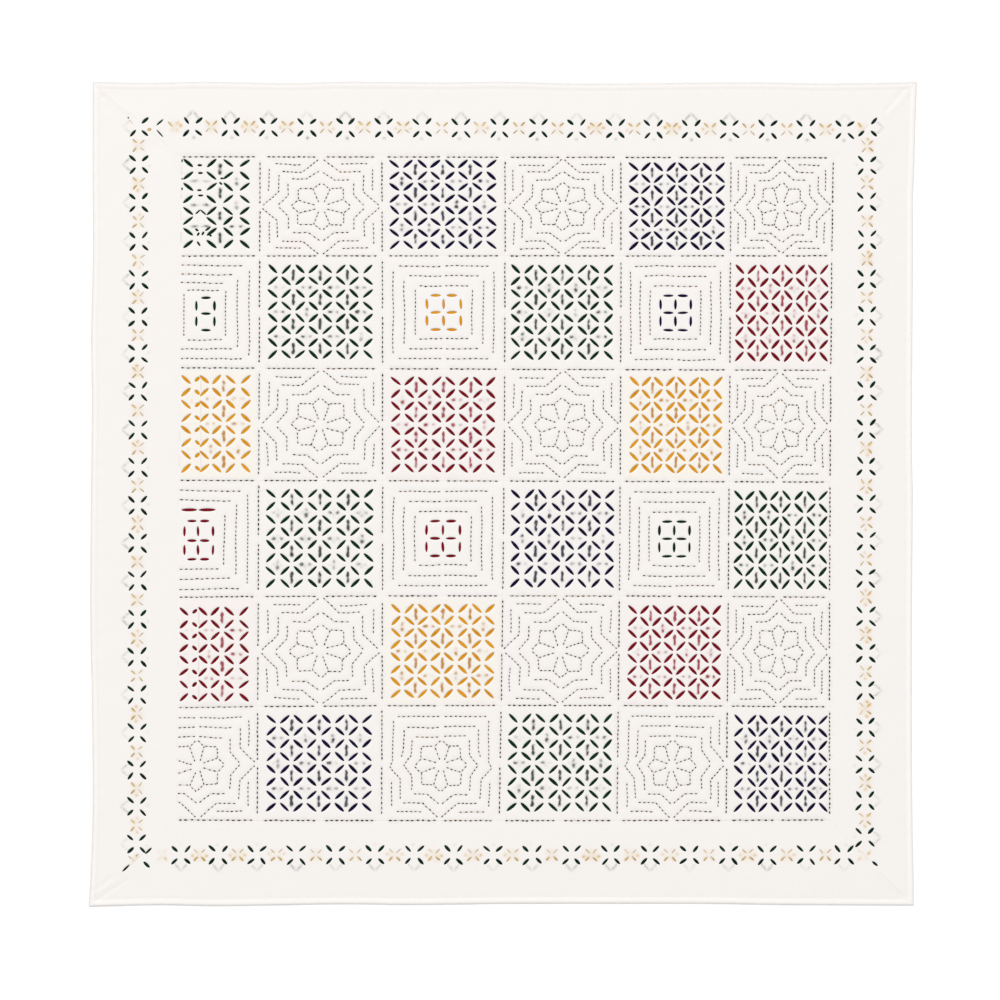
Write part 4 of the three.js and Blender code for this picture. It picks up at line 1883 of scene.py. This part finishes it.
    def values(self, points: Points) -> Values:
        """Works out what the points carry.

        Args:
            points: Points in millimetres.

        Returns:
            The thread showing through with painted shade, the place in the lattice, the strength of the tint
            and how much shows through.
        """
        if self.column == 0:
            columns, rows = self.trimmed_lattice(points)
        else:
            low, high = self.lattice_box()
            share = (self.whole.places(points) - low) / (high - low)
            columns, rows = share[:, 0] * LATTICE_CELLS, (1 - share[:, 1]) * LATTICE_CELLS
        made = super().values(points)
        made["lattice"] = np.column_stack([columns, rows, np.full(len(points), float(self.seed))])
        made["field"] = np.clip(self.shape.depth(points) / 14.0, 0.0, 1.0)
        made["shown"] = np.clip(2 * columns - 8.8, 0.15 if self.column == 0 else 1.0, 1.0)
        return made

    def finish(self) -> Material:
        """The top's finish."""
        return self.finishes.lattice[self.dye]

    def patch(self) -> Optional[Piece]:
        """Lays the coloured cloth under the cuts.

        Returns:
            The cloth.
        """
        corners = self.shape.at(SQUARE * self.patch_share)
        parts = MeshParts()
        flat_pad(parts, corners, PATCH_TOP - 0.08, 14, Unevenness(300 + self.seed, 0.05, 40.0, 90.0))
        width, length = QuadShape(corners).size
        name, finish = f"patch_cloth_{self.place}", self.finishes.dyed[self.dye]
        return laid_patch(parts, name, finish, self.dye, f"patch_{self.place}")


@dataclass
class NestedBlock(BlockTop):
    """A block of stitched squares, one in another, round a small cut lattice."""

    slit_width: float = 7.2
    patch_margin: float = 17.0

    kind_word = "nested"
    stitch_scale = 0.95

    # The rows that the trimmed blocks keep: level ones as v and from where to where, then upright ones
    trimmed_squares = {
        1: (
            (
                (0.833, -1, 0.715), (0.669, -1, 0.548), (0.52, -1, 0.4), (0.388, -0.18, 0.332),
                (-0.498, -0.17, 0.386), (-0.666, -1, 0.548), (-0.841, -1, 0.715),
            ),
            ((0.83, 0.734, -0.776), (0.642, 0.563, -0.622), (0.451, 0.366, -0.426), (-0.233, 0.318, -0.415)),
        ),
        3: (
            (
                (0.824, -1, 0.705), (0.657, -1, 0.535),
                (-0.52, -1, 0.354), (-0.688, -1, 0.535), (-0.864, -1, 0.695),
            ),
            ((0.822, 0.752, -0.776), (0.634, 0.586, -0.622), (0.44, 0.41, -0.45)),
        ),
    }

    # The cuts of the small lattices: their u, their v, their length and their turn
    full_lattice = (
        ((-0.13, 0.134), (-0.305, 0.0, 0.3), 28.5, LEVEL),
        ((-0.272, 0.0, 0.281), (-0.15, 0.145), 28.5, UPRIGHT),
    )
    trimmed_lattices = {
        1: (
            ((0.127,), (-0.325, -0.03, 0.252), 27.0, LEVEL),
            ((-0.03, 0.266), (-0.17, 0.108), 27.5, UPRIGHT),
        ),
        3: (
            ((-0.095, 0.115), (-0.355, -0.035, 0.302), 26.0, LEVEL),
            ((-0.218, 0.005, 0.252), (-0.197, 0.125), 28.0, UPRIGHT),
            ((-0.14,), (0.494,), 44.0, LEVEL),
            ((0.155,), (0.494,), 47.0, LEVEL),
        ),
    }
    # Each square's place out, its half length and the half gap in the middle of its level rows
    squares = ((0.82, 0.735, 0.04), (0.645, 0.565, 0.03), (0.465, 0.4, 0.03))

    def cut(self) -> list[Slit]:
        """Cuts the small lattice; its longest leaves are wider.

        Returns:
            The cuts.
        """
        draw = np.random.default_rng(800 + self.seed)
        lattice = self.trimmed_lattices[self.row] if self.column == 0 else self.full_lattice
        made = []
        for across, up, length, turn in lattice:
            for place in [(u, v) for u in across for v in up]:
                centre = self.whole.at(np.array([place]))[0]
                wide = self.slit_width * draw.uniform(0.88, 1.12) * (1.25 if length > 35 else 1.0)
                made.append(Slit(*centre, length, wide, turn + draw.normal(0, 0.03)))
        return made

    def design(self) -> list[Points]:
        """Lays out the nested squares; the trimmed blocks have rows of their own.

        Returns:
            The paths.
        """
        if self.column == 0:
            level, upright = self.trimmed_squares[self.row]
            paths = [[(start, v), (end, v)] for v, start, end in level]
            paths += [[(u, start), (u, end)] for u, start, end in upright]
            return [self.path(path) for path in paths]
        paths = []
        for ring, reach, gap in self.squares:
            for v in (ring, -ring):
                paths += [[(-reach, v), (-gap, v)], [(gap, v), (reach, v)]]
            for u in (ring, -ring):
                paths.append([(u, -reach * 0.98), (u, reach * 0.98)])
        return [self.path(path) for path in paths]

    def patch(self) -> Optional[Piece]:
        """Lays the small coloured cloth under the cuts.

        Returns:
            The cloth.
        """
        middles = np.array([(slit.x, slit.y) for slit in self.slits])
        low, high = middles.min(axis=0) - self.patch_margin, middles.max(axis=0) + self.patch_margin
        low[0] = max(low[0], self.shape.corners[:, 0].min() + 1.0)
        corners = np.array([low, [high[0], low[1]], high, [low[0], high[1]]])
        parts = MeshParts()
        flat_pad(parts, corners, PATCH_TOP - 0.2, 8, Unevenness(400 + self.seed, 0.05, 40.0, 90.0))
        name, finish = f"small_patch_{self.place}", self.finishes.dyed[self.dye]
        return laid_patch(parts, name, finish, self.dye)


@dataclass
class StarBlock(BlockTop):
    """A block with a stitched star round a flower."""

    blunt: bool = False

    kind_word = "star"
    stitch_scale = 0.86

    # Each ring's side, its tip, where the tip's base is, the side's reach, and half the gap at the tip
    rings = ((0.7, 0.945, 0.3, 0.625, 0.035), (0.54, 0.7, 0.225, 0.455, 0.03))
    # The blunt stars' straight rows at the head, as v and reach, and their smaller, lower flower
    head_rows = ((0.817, 0.745), (0.639, 0.58), (0.465, 0.42))
    small_flower = 0.91
    lowered = (0.0, -0.045)
    # Sides of the blunt stars that are straight in their upper half, by block; 1 is the east
    straight_sides = {(5, 2): (1, -1), (5, 4): (-1,)}
    # The rows of such a side, with u outwards
    straight_rows = (
        ((0.81, 0.74), (0.81, 0.03), (0.86, -0.07), (0.69, -0.27), (0.68, -0.61)),
        ((0.635, 0.58), (0.64, 0.22), (0.67, 0.11)),
        ((0.485, 0.4), (0.5, 0.13), (0.63, -0.035), (0.5, -0.22), (0.5, -0.46)),
        ((0.825, -0.34), (0.825, -0.75)),
    )

    def petals(self) -> list[list[tuple[float, float]]]:
        """Lays out the flower's east quarter.

        Returns:
            Its paths, in u and v.
        """
        made = []
        for turn in (1, -1):
            made.append([(0.1, 0.045 * turn), (0.365, 0.135 * turn), (0.475, 0.02 * turn)])
            made.append([(0.37, 0.155 * turn), (0.365, 0.345 * turn)])
        return made

    @staticmethod
    def points_of(ring: tuple[float, ...]) -> list[list[tuple[float, float]]]:
        """The paths of one ring's east quarter."""
        side, tip, base, reach, gap = ring
        return [[(side, reach * turn), (side, base * turn), (tip, gap * turn)] for turn in (1, -1)]

    def design(self) -> list[Points]:
        """Lays out the star's rings and the flower, with straight rows where a star is blunt.

        Returns:
            The paths.
        """
        draw = np.random.default_rng(600 + self.seed)
        size, low = (self.small_flower, self.lowered) if self.blunt else (1.0, (0.0, 0.0))
        straight = self.straight_sides.get((self.row, self.column), ())
        paths = []
        for quarter, side in enumerate((1, 0, -1, 0)):
            for path in self.petals():
                paths.append(turned(np.array(path) * size + draw.normal(0, 0.007, 2), quarter) + low)
            rows = []
            if quarter == 1 and self.blunt:
                for out, reach in self.head_rows:
                    rows += [[(out, -reach), (out, -0.05)], [(out, 0.04), (out, reach)]]
            elif side in straight:
                rows += [[(u, v * side) for u, v in path] for path in self.straight_rows]
            else:
                for ring in self.rings:
                    rows += self.points_of(ring)
                rows += [[(0.85, 0.33 * turn), (0.85, 0.75 * turn)] for turn in (1, -1)]
            paths += [turned(np.array(path) + draw.normal(0, 0.007, 2), quarter) for path in rows]
        return [self.path(path) for path in paths]


@dataclass
class BackCloth:
    """The plain back, with its hem turned up underneath."""

    finishes: Wardrobe
    strips: Sequence[StripShape]
    grid: float = 45.0
    grid_reach: float = 1085.0
    edge_step: float = 14.0

    def outline(self, step: float) -> Points:
        """The outer edge all the way round, anticlockwise."""
        parts = [strip.common(Trail(strip.edge).spaced(step))[:-1] for strip in self.strips]
        return np.vstack(parts)

    def add_layer(
        self, parts: MeshParts, rings: Sequence[tuple[float, float]], middle: float, face_down: bool
    ) -> None:
        """Fills one face of the cloth.

        Args:
            parts: What it is added to.
            rings: How far in each ring is, and its height.
            middle: The height inside the last ring.
            face_down: True for the underside.
        """
        outline = self.outline(self.edge_step)
        loops = [drawn_in(outline, inset) if inset else outline for inset, _ in rings]
        heights = [np.full(len(loop), z) for loop, (_, z) in zip(loops, rings)]
        steps = np.arange(-self.grid_reach, self.grid_reach + 1.0, self.grid)
        x, y = np.meshgrid(steps, steps)
        inner = np.stack([x.ravel(), y.ravel()], axis=1)
        waves = Unevenness(5, 0.06, 60.0, 300.0).at(inner)
        count = len(outline)
        edges = [(i, (i + 1) % count) for i in range(count)]
        points, faces, sources = joined(np.vstack([*loops, inner]), edges)
        z = np.concatenate([*heights, middle + waves])[[source[0] for source in sources]]
        middles = points[faces].mean(axis=1)
        inside = np.min([strip.from_edge(strip.own(middles)) for strip in self.strips], axis=0) > 0.01
        faces = faces[inside]
        wrong = (doubled_areas(points, faces) < 0) != face_down
        faces[wrong] = faces[wrong][:, ::-1]
        parts.add(np.column_stack([points, z]), faces, {"thread_and_painted_shade": np.zeros(len(points))})

    def build(self) -> Piece:
        """Makes the back cloth.

        Returns:
            The cloth.
        """
        hem = [(0.0, 0.55), (0.5, 0.05), (HEM_WIDTH, 0.05), (HEM_WIDTH + 1.0, 0.4)]
        parts = MeshParts()
        self.add_layer(parts, [(0.0, 0.55), (0.5, 0.93)], BACK_TOP - 0.08, False)
        self.add_layer(parts, hem, 0.4, True)
        piece = parts.made("back_cloth", self.finishes.back)
        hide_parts("back_sheet")
        area = plan_area(self.outline(self.edge_step)) * MM * MM
        LOG.info("back_cloth: %d triangles", len(piece.data.polygons))
        return piece


@dataclass(frozen=True)
class BandLine:
    """Where the crosses of one border lie: their middles along the side, and the line they are on."""

    middles: tuple[float, ...]
    starts_at: float
    ends_at: float
    # How strongly shade is painted in a grey line along the outer edge
    edge_painted_shade: float
    missing: tuple[tuple[int, int, int], ...] = ()  # cross, then along and outwards of its left-out leaf


# Middles of the green crosses, as x or y, the band's distance out at the two ends of the side, and how
# strongly shade is painted along the outer edge
BANDS = {
    Side.NORTH: BandLine(
        (
            -847.5, -744.5, -639.9, -535.4, -429.7, -324.3, -219.2, -113.3, -7.9, 98.5,
            203.4, 308.7, 413.0, 516.5, 621.0, 725.9, 831.2, 936.3,
        ),
        1003.1, 994.9, 0.85,
    ),
    Side.WEST: BandLine(
        (
            1003.1, 900.2, 795.9, 690.3, 584.9, 483.1, 382.1, 279.2, 174.1, 71.2,
            -32.8, -135.5, -239.5, -344.6, -447.8, -550.4, -654.7, -756.8, -856.7, -959.3,
        ),
        994.9, 1001.2, 0.8, ((0, -1, 1),),
    ),
    Side.EAST: BandLine(
        (
            1001.0, 897.6, 796.7, 693.6, 585.8, 485.8, 382.1, 280.0, 176.5, 73.4, -28.7,
            -130.8, -231.8, -336.4, -437.6, -538.4, -640.5, -741.2, -841.1, -941.5,
        ),
        998.5, 992.2, 0.12, ((19, 1, -1),),
    ),
    Side.SOUTH: BandLine(
        (
            -879.7, -777.6, -671.7, -564.1, -456.5, -349.0, -241.4, -133.8, -26.3, 81.3,
            188.9, 296.4, 404.0, 511.5, 618.2, 723.9, 831.2, 934.9,
        ),
        989.4, 989.4, 0.12,
    ),
}


@dataclass(frozen=True)
class BandCut:
    """A single leaf near a corner, outside the repeat."""

    dye: Dye
    x: float
    y: float
    length: float
    width: float
    degrees: float


CORNER_CUTS = {
    Side.NORTH: (
        BandCut(Dye.GREEN, -937.2, 1015.4, 25, 5.2, 41),
        BandCut(Dye.GREEN, -937.2, 984.8, 27, 4.2, -48),
        BandCut(Dye.GOLD, -909.3, 1010.2, 17, 5, -51),
    ),
    Side.EAST: (
        BandCut(Dye.GOLD, 977.7, 1008.1, 15, 6, -50),
        BandCut(Dye.GREEN, 1019.3, -1013.0, 20, 7, -39),
    ),
    Side.SOUTH: (
        BandCut(Dye.GREEN, -968.6, -978.0, 25, 6.3, 44),
        BandCut(Dye.GREEN, -973.6, -1015.8, 23.5, 8.4, -44),
    ),
    Side.WEST: (
        BandCut(Dye.GREEN, -1030.2, -1025.1, 28, 5.5, 44),
        BandCut(Dye.GOLD, -1019.0, -996.0, 11, 2.4, -45),
        BandCut(Dye.GOLD, -999.0, -989.5, 10, 2.2, 42),
        BandCut(Dye.GOLD, -966.0, 995.0, 12, 8, 20),
        BandCut(Dye.GREEN, -1023.9, 1027.8, 5, 4, 0),
        BandCut(Dye.GOLD, -1016.8, 1016.8, 18, 1.6, -50),
    ),
}


@dataclass
class BorderStrip:
    """One border strip with its band of cut crosses and its hem."""

    strip: StripShape
    finishes: Wardrobe
    green_reach: float = 17.2
    gold_reach: float = 10.4
    green_leaf: tuple[float, float] = (24.0, 8.0)
    gold_leaf: tuple[float, float] = (16.0, 3.7)
    hem_rows: tuple[float, ...] = (4.2, 7.5, 11.0, 14.5, HEM_STITCH, 23.0, 30.0)

    def __post_init__(self) -> None:
        """Lays the band and the rows of stitches out."""
        self.side = self.strip.side
        self.band = BANDS[self.side]
        self.number = list(Side).index(self.side)
        self.upright = self.side in (Side.EAST, Side.WEST)
        self.draw = np.random.default_rng(900 + self.number)
        self.unevenness = Unevenness(500 + self.number, 0.2, 60.0, 260.0)
        self.greens = self.placed(np.array(self.band.middles))
        self.golds = (self.greens[:-1] + self.greens[1:]) / 2
        self.own_slits = self.cut()
        self.slits = self.own_slits
        self.stitches = StitchRuns(self.sewing())

    @property
    def word(self) -> str:
        """The side's name."""
        return self.side.name.lower()

    def placed(self, middles: np.ndarray) -> Points:
        """Places crosses on the band's line.

        Args:
            middles: Their middles, as x or y.

        Returns:
            Layout points, in order along the strip.
        """
        share = (middles - middles[0]) / (middles[-1] - middles[0])
        out = self.band.starts_at + (self.band.ends_at - self.band.starts_at) * share
        reach = out * self.strip.out.sum()
        points = np.stack([reach, middles] if self.upright else [middles, reach], axis=1)
        return points[np.argsort(points @ self.strip.run)]

    def cross(self, number: int, middle: np.ndarray, dye: Dye) -> list[Slit]:
        """The leaves of one cross.

        Args:
            number: Its place in the row.
            middle: Its middle.
            dye: The colour under it.

        Returns:
            The cuts.
        """
        made = []
        green = dye is Dye.GREEN
        reach, leaf = (self.green_reach, self.green_leaf) if green else (self.gold_reach, self.gold_leaf)
        for across in (-1, 1):
            for outward in (-1, 1):
                if green and (number, across, outward) in self.band.missing:
                    continue
                opened = 1.0 if green or outward > 0 else self.draw.uniform(0.35, 0.75)
                shift = self.strip.run * across * reach + self.strip.out * outward * reach
                centre = middle + shift + self.draw.normal(0, 0.7, 2)
                direction = math.atan2(shift[1], shift[0]) + self.draw.normal(0, 0.07)
                long = leaf[0] * self.draw.uniform(0.92, 1.06)
                wide = leaf[1] * opened * self.draw.uniform(0.85, 1.12)
                made.append(Slit(*centre, long, wide, direction))
        return made

    def cut(self) -> list[Slit]:
        """Cuts this side's band.

        Returns:
            The cuts, crosses first.
        """
        made = []
        for number, middle in enumerate(self.greens):
            made += self.cross(number, middle, Dye.GREEN)
        for number, middle in enumerate(self.golds):
            made += self.cross(number, middle, Dye.GOLD)
        for one in CORNER_CUTS[self.side]:
            made.append(Slit(one.x, one.y, one.length, one.width, math.radians(one.degrees)))
        return made

    def share_cuts(self, cuts: Sequence[Slit]) -> None:
        """Takes every cut of the whole band that reaches into this strip."""
        self.slits = [slit for slit in cuts if self.strip.depth(slit.loop(1.0, 24)).max() > 0.6]

    def hem_line(self, inset: float) -> Points:
        """Draws a line along the hem.

        Args:
            inset: How far in from the outer edge it runs.

        Returns:
            The line in the strip's own frame, clear of the mitres.
        """
        line = self.strip.edge.copy()
        line[:, 1] -= inset
        return line[(line[:, 0] > line[0, 0] + inset) & (line[:, 0] < line[-1, 0] - inset)]

    def details(self) -> Points:
        """Points that let the mesh follow the hem and the creases."""
        rows = [self.strip.common(Trail(self.hem_line(inset)).spaced(8.0)) for inset in self.hem_rows]
        return np.vstack([*rows, *(crease.details() for crease in CREASES)])

    def hem_run(self) -> StitchRun:
        """The hem's row of small white stitches."""
        return StitchRun(self.strip.common(self.hem_line(HEM_STITCH)), 5.2, 3.4)

    def mitre_runs(self) -> list[StitchRun]:
        """Sews the small stitches along the mitre in the south east.

        Returns:
            Their row, on the south side alone.
        """
        if self.side is not Side.SOUTH:
            return []
        start, end = self.strip.seam[-1], self.strip.edge[-1]
        path = np.array([start + (end - start) * 0.62, start + (end - start) * 0.9])
        return [StitchRun(self.strip.common(path) - self.strip.run * 1.6, 10.0, 4.2)]

    def sewing(self) -> list[StitchRun]:
        """The rows of stitches that pull dimples in this strip."""
        return [self.hem_run(), *self.mitre_runs(), *self.seam_sewing()]

    def seam_sewing(self) -> list[StitchRun]:
        """Finds the rows along the seam with the blocks.

        Returns:
            The rows; the west seam has none.
        """
        count = range(LAST_ROW)
        runs = {
            Side.SOUTH: [SEAMS.level(LAST_ROW, i) for i in count],
            Side.NORTH: [SEAMS.level(0, i) for i in count],
            Side.EAST: [SEAMS.upright(i, LAST_COLUMN) for i in count],
            Side.WEST: [],
        }
        return [run for pair in runs[self.side] for run in pair]

    def section(self, own: Points) -> Heights:
        """Draws the strip's section, from the seam to the hem.

        Args:
            own: Points in the strip's own frame.

        Returns:
            The heights.
        """
        inner = np.maximum(self.strip.from_seam(own), 0.0)
        outer = np.maximum(self.strip.from_edge(own), 0.0)
        width = inner + outer
        knots = [0 * width, 0 * width + 16, 0.52 * width, width - HEM_STITCH, width - 8.5, width]
        heights = [3.15, 3.6, 3.5, 2.55, 3.65, 3.3]
        made = np.full(len(own), heights[-1])
        for here, there, low, high in zip(knots, knots[1:], heights, heights[1:]):
            share = np.clip((inner - here) / np.maximum(there - here, 1e-6), 0.0, 1.0)
            smooth = share * share * (3 - 2 * share)
            made = np.where((inner >= here) & (inner <= there), low + (high - low) * smooth, made)
        return made

    def wrinkled(self, own: Points, points: Points) -> Heights:
        """Adds up the wrinkles, the hem's puckers and the creases; they fade towards the edges.

        Args:
            own: The points in the strip's own frame.
            points: The same points in the layout.

        Returns:
            The heights that they add.
        """
        inner = np.maximum(self.strip.from_seam(own), 0.0)
        outer = np.maximum(self.strip.from_edge(own), 0.0)
        across = np.clip(inner / np.maximum(inner + outer, 1e-6), 0.0, 1.0)
        along = points[:, 1 if self.upright else 0]
        slant = (across - 0.5) * 26.0
        total = np.zeros(len(points))
        for one in WRINKLES:
            if one.side is self.side:
                away = (along + slant - one.along) / one.spread
                total += one.height * np.exp(-away * away) * np.sin(math.pi * across)
        ripple = np.sin(along / 7.5 + 2.0 * np.sin(along / 61.0))
        hem = 0.14 * ripple * np.exp(-((outer - HEM_STITCH) / 9.0) ** 2)
        creases = sum(crease.at(points) for crease in CREASES)
        return total + hem + creases * np.clip(outer / 4.0, 0.0, 1.0)

    def height(self, points: Points) -> Heights:
        """Adds up the height of the strip.

        Args:
            points: Points in millimetres.

        Returns:
            The heights.
        """
        own = self.strip.own(points)
        distance, phase = self.stitches.nearest(points)
        pull = np.exp(-(distance / 2.2) ** 2)
        rim = np.interp(nearest_cut(self.slits, points), RIM_KNOTS, [-0.95, -0.4, 0.02, 0.14, 0.03, 0.0])
        depth = self.strip.depth(points)
        edge = np.interp(self.strip.from_edge(own), [0.0, 0.7, 2.0, 4.0], [-1.1, -0.4, -0.1, 0.0])
        mitre = np.interp(depth, [0.0, 0.7, 2.0, 6.0], [-0.04, -0.02, 0.0, 0.02])
        return (
            self.section(own)
            + self.wrinkled(own, points)
            + self.unevenness.at(points)
            - 0.3 * pull
            + 0.08 * pull * np.cos(2 * math.pi * phase)
            + rim
            + np.minimum(edge, mitre)
        )

    def values(self, points: Points) -> Values:
        """Works out what the points carry.

        Args:
            points: Points in millimetres.

        Returns:
            The thread showing through with painted shade at the stitches and along the outer edge, the hem's
            painted highlight, and the place in the band with how much shows there.
        """
        distance, _ = StitchRuns(self.seam_sewing()).nearest(points)
        along = points @ self.strip.run
        middles = self.greens @ self.strip.run
        count = len(middles)
        beyond = 2 * BAND_PITCH
        knots = np.concatenate([[middles[0] - beyond], middles, [middles[-1] + beyond]])
        number = np.interp(along, knots, [-2, *range(count), count + 1])
        past = np.maximum(-0.5 - number, number - (count - 0.5))
        line = np.interp(along, middles, self.greens @ self.strip.out)
        outward = points @ self.strip.out - line
        shown = np.clip((0.12 - past) / 0.1, 0.0, 1.0)
        number = number + 40.0 * self.number
        outer = self.strip.from_edge(self.strip.own(points))
        # Painted shade: a grey line along the outermost few millimetres, stronger on the head and west sides
        edge = self.band.edge_painted_shade * np.exp(-(outer / 2.4) ** 2)
        # Painted highlight: the hem's band is lightened towards a brighter white
        painted_hem_highlight = np.clip((HEM_WIDTH + 1.0 - outer) / 3.0, 0.0, 1.0)
        return {
            "thread_and_painted_shade": np.maximum(np.exp(-(distance / 1.7) ** 2), edge),
            "hem": painted_hem_highlight * np.clip((outer - 1.5) / 2.0, 0.0, 1.0),
            "band": np.column_stack([number, outward, shown]),
        }

    def patches(self) -> list[Piece]:
        """Lays the coloured cloths under the band.

        Returns:
            One piece for each colour.
        """
        made = []
        finishes = {Dye.GREEN: self.finishes.dyed[Dye.GREEN], Dye.GOLD: self.finishes.pale_gold}
        for dye, half, middles in ((Dye.GREEN, 27.5, self.greens), (Dye.GOLD, 17.5, self.golds)):
            places = [(middle, half, 0.0) for middle in middles]
            lone = [one for one in CORNER_CUTS[self.side] if one.dye is dye]
            places += [(np.array([one.x, one.y]), 0.42 * one.length + 2.2, 0.2) for one in lone]
            parts = MeshParts()
            for number, (middle, reach, lift) in enumerate(places):
                top = PATCH_TOP - 0.35 - 0.04 * (number % 3) + lift
                flat_pad(parts, middle + SQUARE * reach, top, 3, Unevenness(600, 0.03, 40.0, 90.0))
            name = f"band_patches_{dye.value}_{self.word}"
            made.append(laid_patch(parts, name, finishes[dye], dye))
        return made

    def build(self) -> Piece:
        """Makes the strip, its patches and its stitches.

        Returns:
            The strip.
        """
        below = self.patches()
        cloth = CutCloth(self.strip, self.slits, self.stitches, spacing=11.0, details=self.details())
        name = f"border_top_{self.word}"
        top = cloth.made(name, self.finishes.band, self.height, self.values)
        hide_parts(f"border_{self.word}")
        area = plan_area(self.strip.loop(20.0)) * MM * MM
        hem = MeshParts()
        StitchWork(50, width=0.9, rise=0.3, stray=0.15).add(hem, [self.hem_run()], self.height)
        hem.made(f"hem_stitches_{self.word}", self.finishes.hemming)
        mitre = self.mitre_runs()
        if mitre:
            parts = MeshParts()
            StitchWork(51, width=1.5).add(parts, mitre, self.height)
            parts.made("mitre_stitches", self.finishes.hemming)
        LOG.info("%s: %d triangles, %d cuts", name, len(top.data.polygons), len(self.slits))
        return top


@dataclass
class Studio:
    """The camera, the lights and the floor."""

    camera_place: tuple[float, float, float] = (-0.0073, -0.0167, 6.463)
    lens: float = 85.0
    dome: float = 0.755
    key: float = 0.345
    key_height: float = 42.0
    key_turn: float = 21.0
    key_distance: float = 51.0
    floor_reach: float = 40.0

    def build(self) -> None:
        """Makes the camera, the lights and the floor."""
        self.add_camera()
        self.add_lights()
        self.add_floor()
        view = bpy.context.scene.view_settings
        view.view_transform = "Standard"
        view.look = "None"
        view.exposure = 0.0
        view.gamma = 1.0
        LOG.info("studio: camera, lights and floor")

    def add_camera(self) -> None:
        """Puts the camera straight above the cover, with the head end up."""
        made = bpy.data.cameras.new("camera")
        made.lens = self.lens
        made.sensor_width = 36.0
        made.clip_end = 50.0
        placed = in_scene("camera", made)
        placed.location = self.camera_place
        bpy.context.scene.camera = placed

    def add_lights(self) -> None:
        """Adds a bright even dome and a soft key light from beyond the north west corner."""
        world = bpy.data.worlds.new("studio")
        bpy.context.scene.world = world
        world.use_nodes = True
        background = world.node_tree.nodes["Background"]
        background.inputs["Color"].default_value = (1.0, 1.0, 1.0, 1.0)
        background.inputs["Strength"].default_value = self.dome
        lamp = bpy.data.lights.new("key", "AREA")
        lamp.shape = "DISK"
        lamp.size = self.key_distance / 4
        height, turn = math.radians(self.key_height), math.radians(self.key_turn)
        lamp.energy = self.key * (math.pi * self.key_distance) ** 2 / math.sin(height)
        placed = in_scene("key", lamp)
        level = self.key_distance * math.cos(height)
        lift = self.key_distance * math.sin(height)
        placed.location = (-level * math.sin(turn), level * math.cos(turn), lift)
        placed.rotation_euler = (-placed.location).to_track_quat("-Z", "Y").to_euler()

    def add_floor(self) -> None:
        """Adds the pale floor."""
        mesh = bpy.data.meshes.new("floor")
        corners = np.column_stack([SQUARE * self.floor_reach, np.zeros(4)])
        mesh.from_pydata(corners.tolist(), [], [(0, 1, 2, 3)])
        mesh.materials.append(StudioPaper().material())
        floor = in_scene("floor", mesh)
        floor.location = (0.0, 0.0, -0.0006)
        floor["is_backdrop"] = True


def block_at(row: int, column: int, finishes: Wardrobe) -> BlockTop:
    """Picks the block that the layout names.

    Args:
        row: The row, from 0 at the head.
        column: The column, from 0 in the west.
        finishes: Every finish.

    Returns:
        The block.
    """
    *first, last = BLOCKS[row][column].split()
    if last == Kind.STAR.value:
        return StarBlock(row, column, None, finishes, blunt=bool(first))
    made = {Kind.LEAF: LeafBlock, Kind.NESTED: NestedBlock}[Kind(first[0])]
    return made(row, column, Dye(last), finishes)


def write_sizes() -> None:
    """Gathers the model's box and the visual model's box."""
    boxes = {"cad": CAD_BOX, "visual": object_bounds()}
    plain = {name: [[float(value) for value in corner] for corner in box] for name, box in boxes.items()}


def main() -> None:
    """Builds the studio, the cloths and their stitches, in order."""
    logging.basicConfig(level=logging.INFO, format="%(message)s")
    Studio().build()
    finishes = Wardrobe.make()
    shapes = [StripShape(side) for side in (Side.SOUTH, Side.EAST, Side.NORTH, Side.WEST)]
    back = BackCloth(finishes, shapes).build()
    borders = [BorderStrip(shape, finishes) for shape in shapes]
    cuts = [slit for border in borders for slit in border.own_slits]
    for border in borders:
        border.share_cuts(cuts)
        border.build()
    for row in range(LAST_ROW):
        for column in range(LAST_COLUMN):
            block_at(row, column, finishes).build(back)
    write_sizes()


if __name__ == "__main__":
    main()
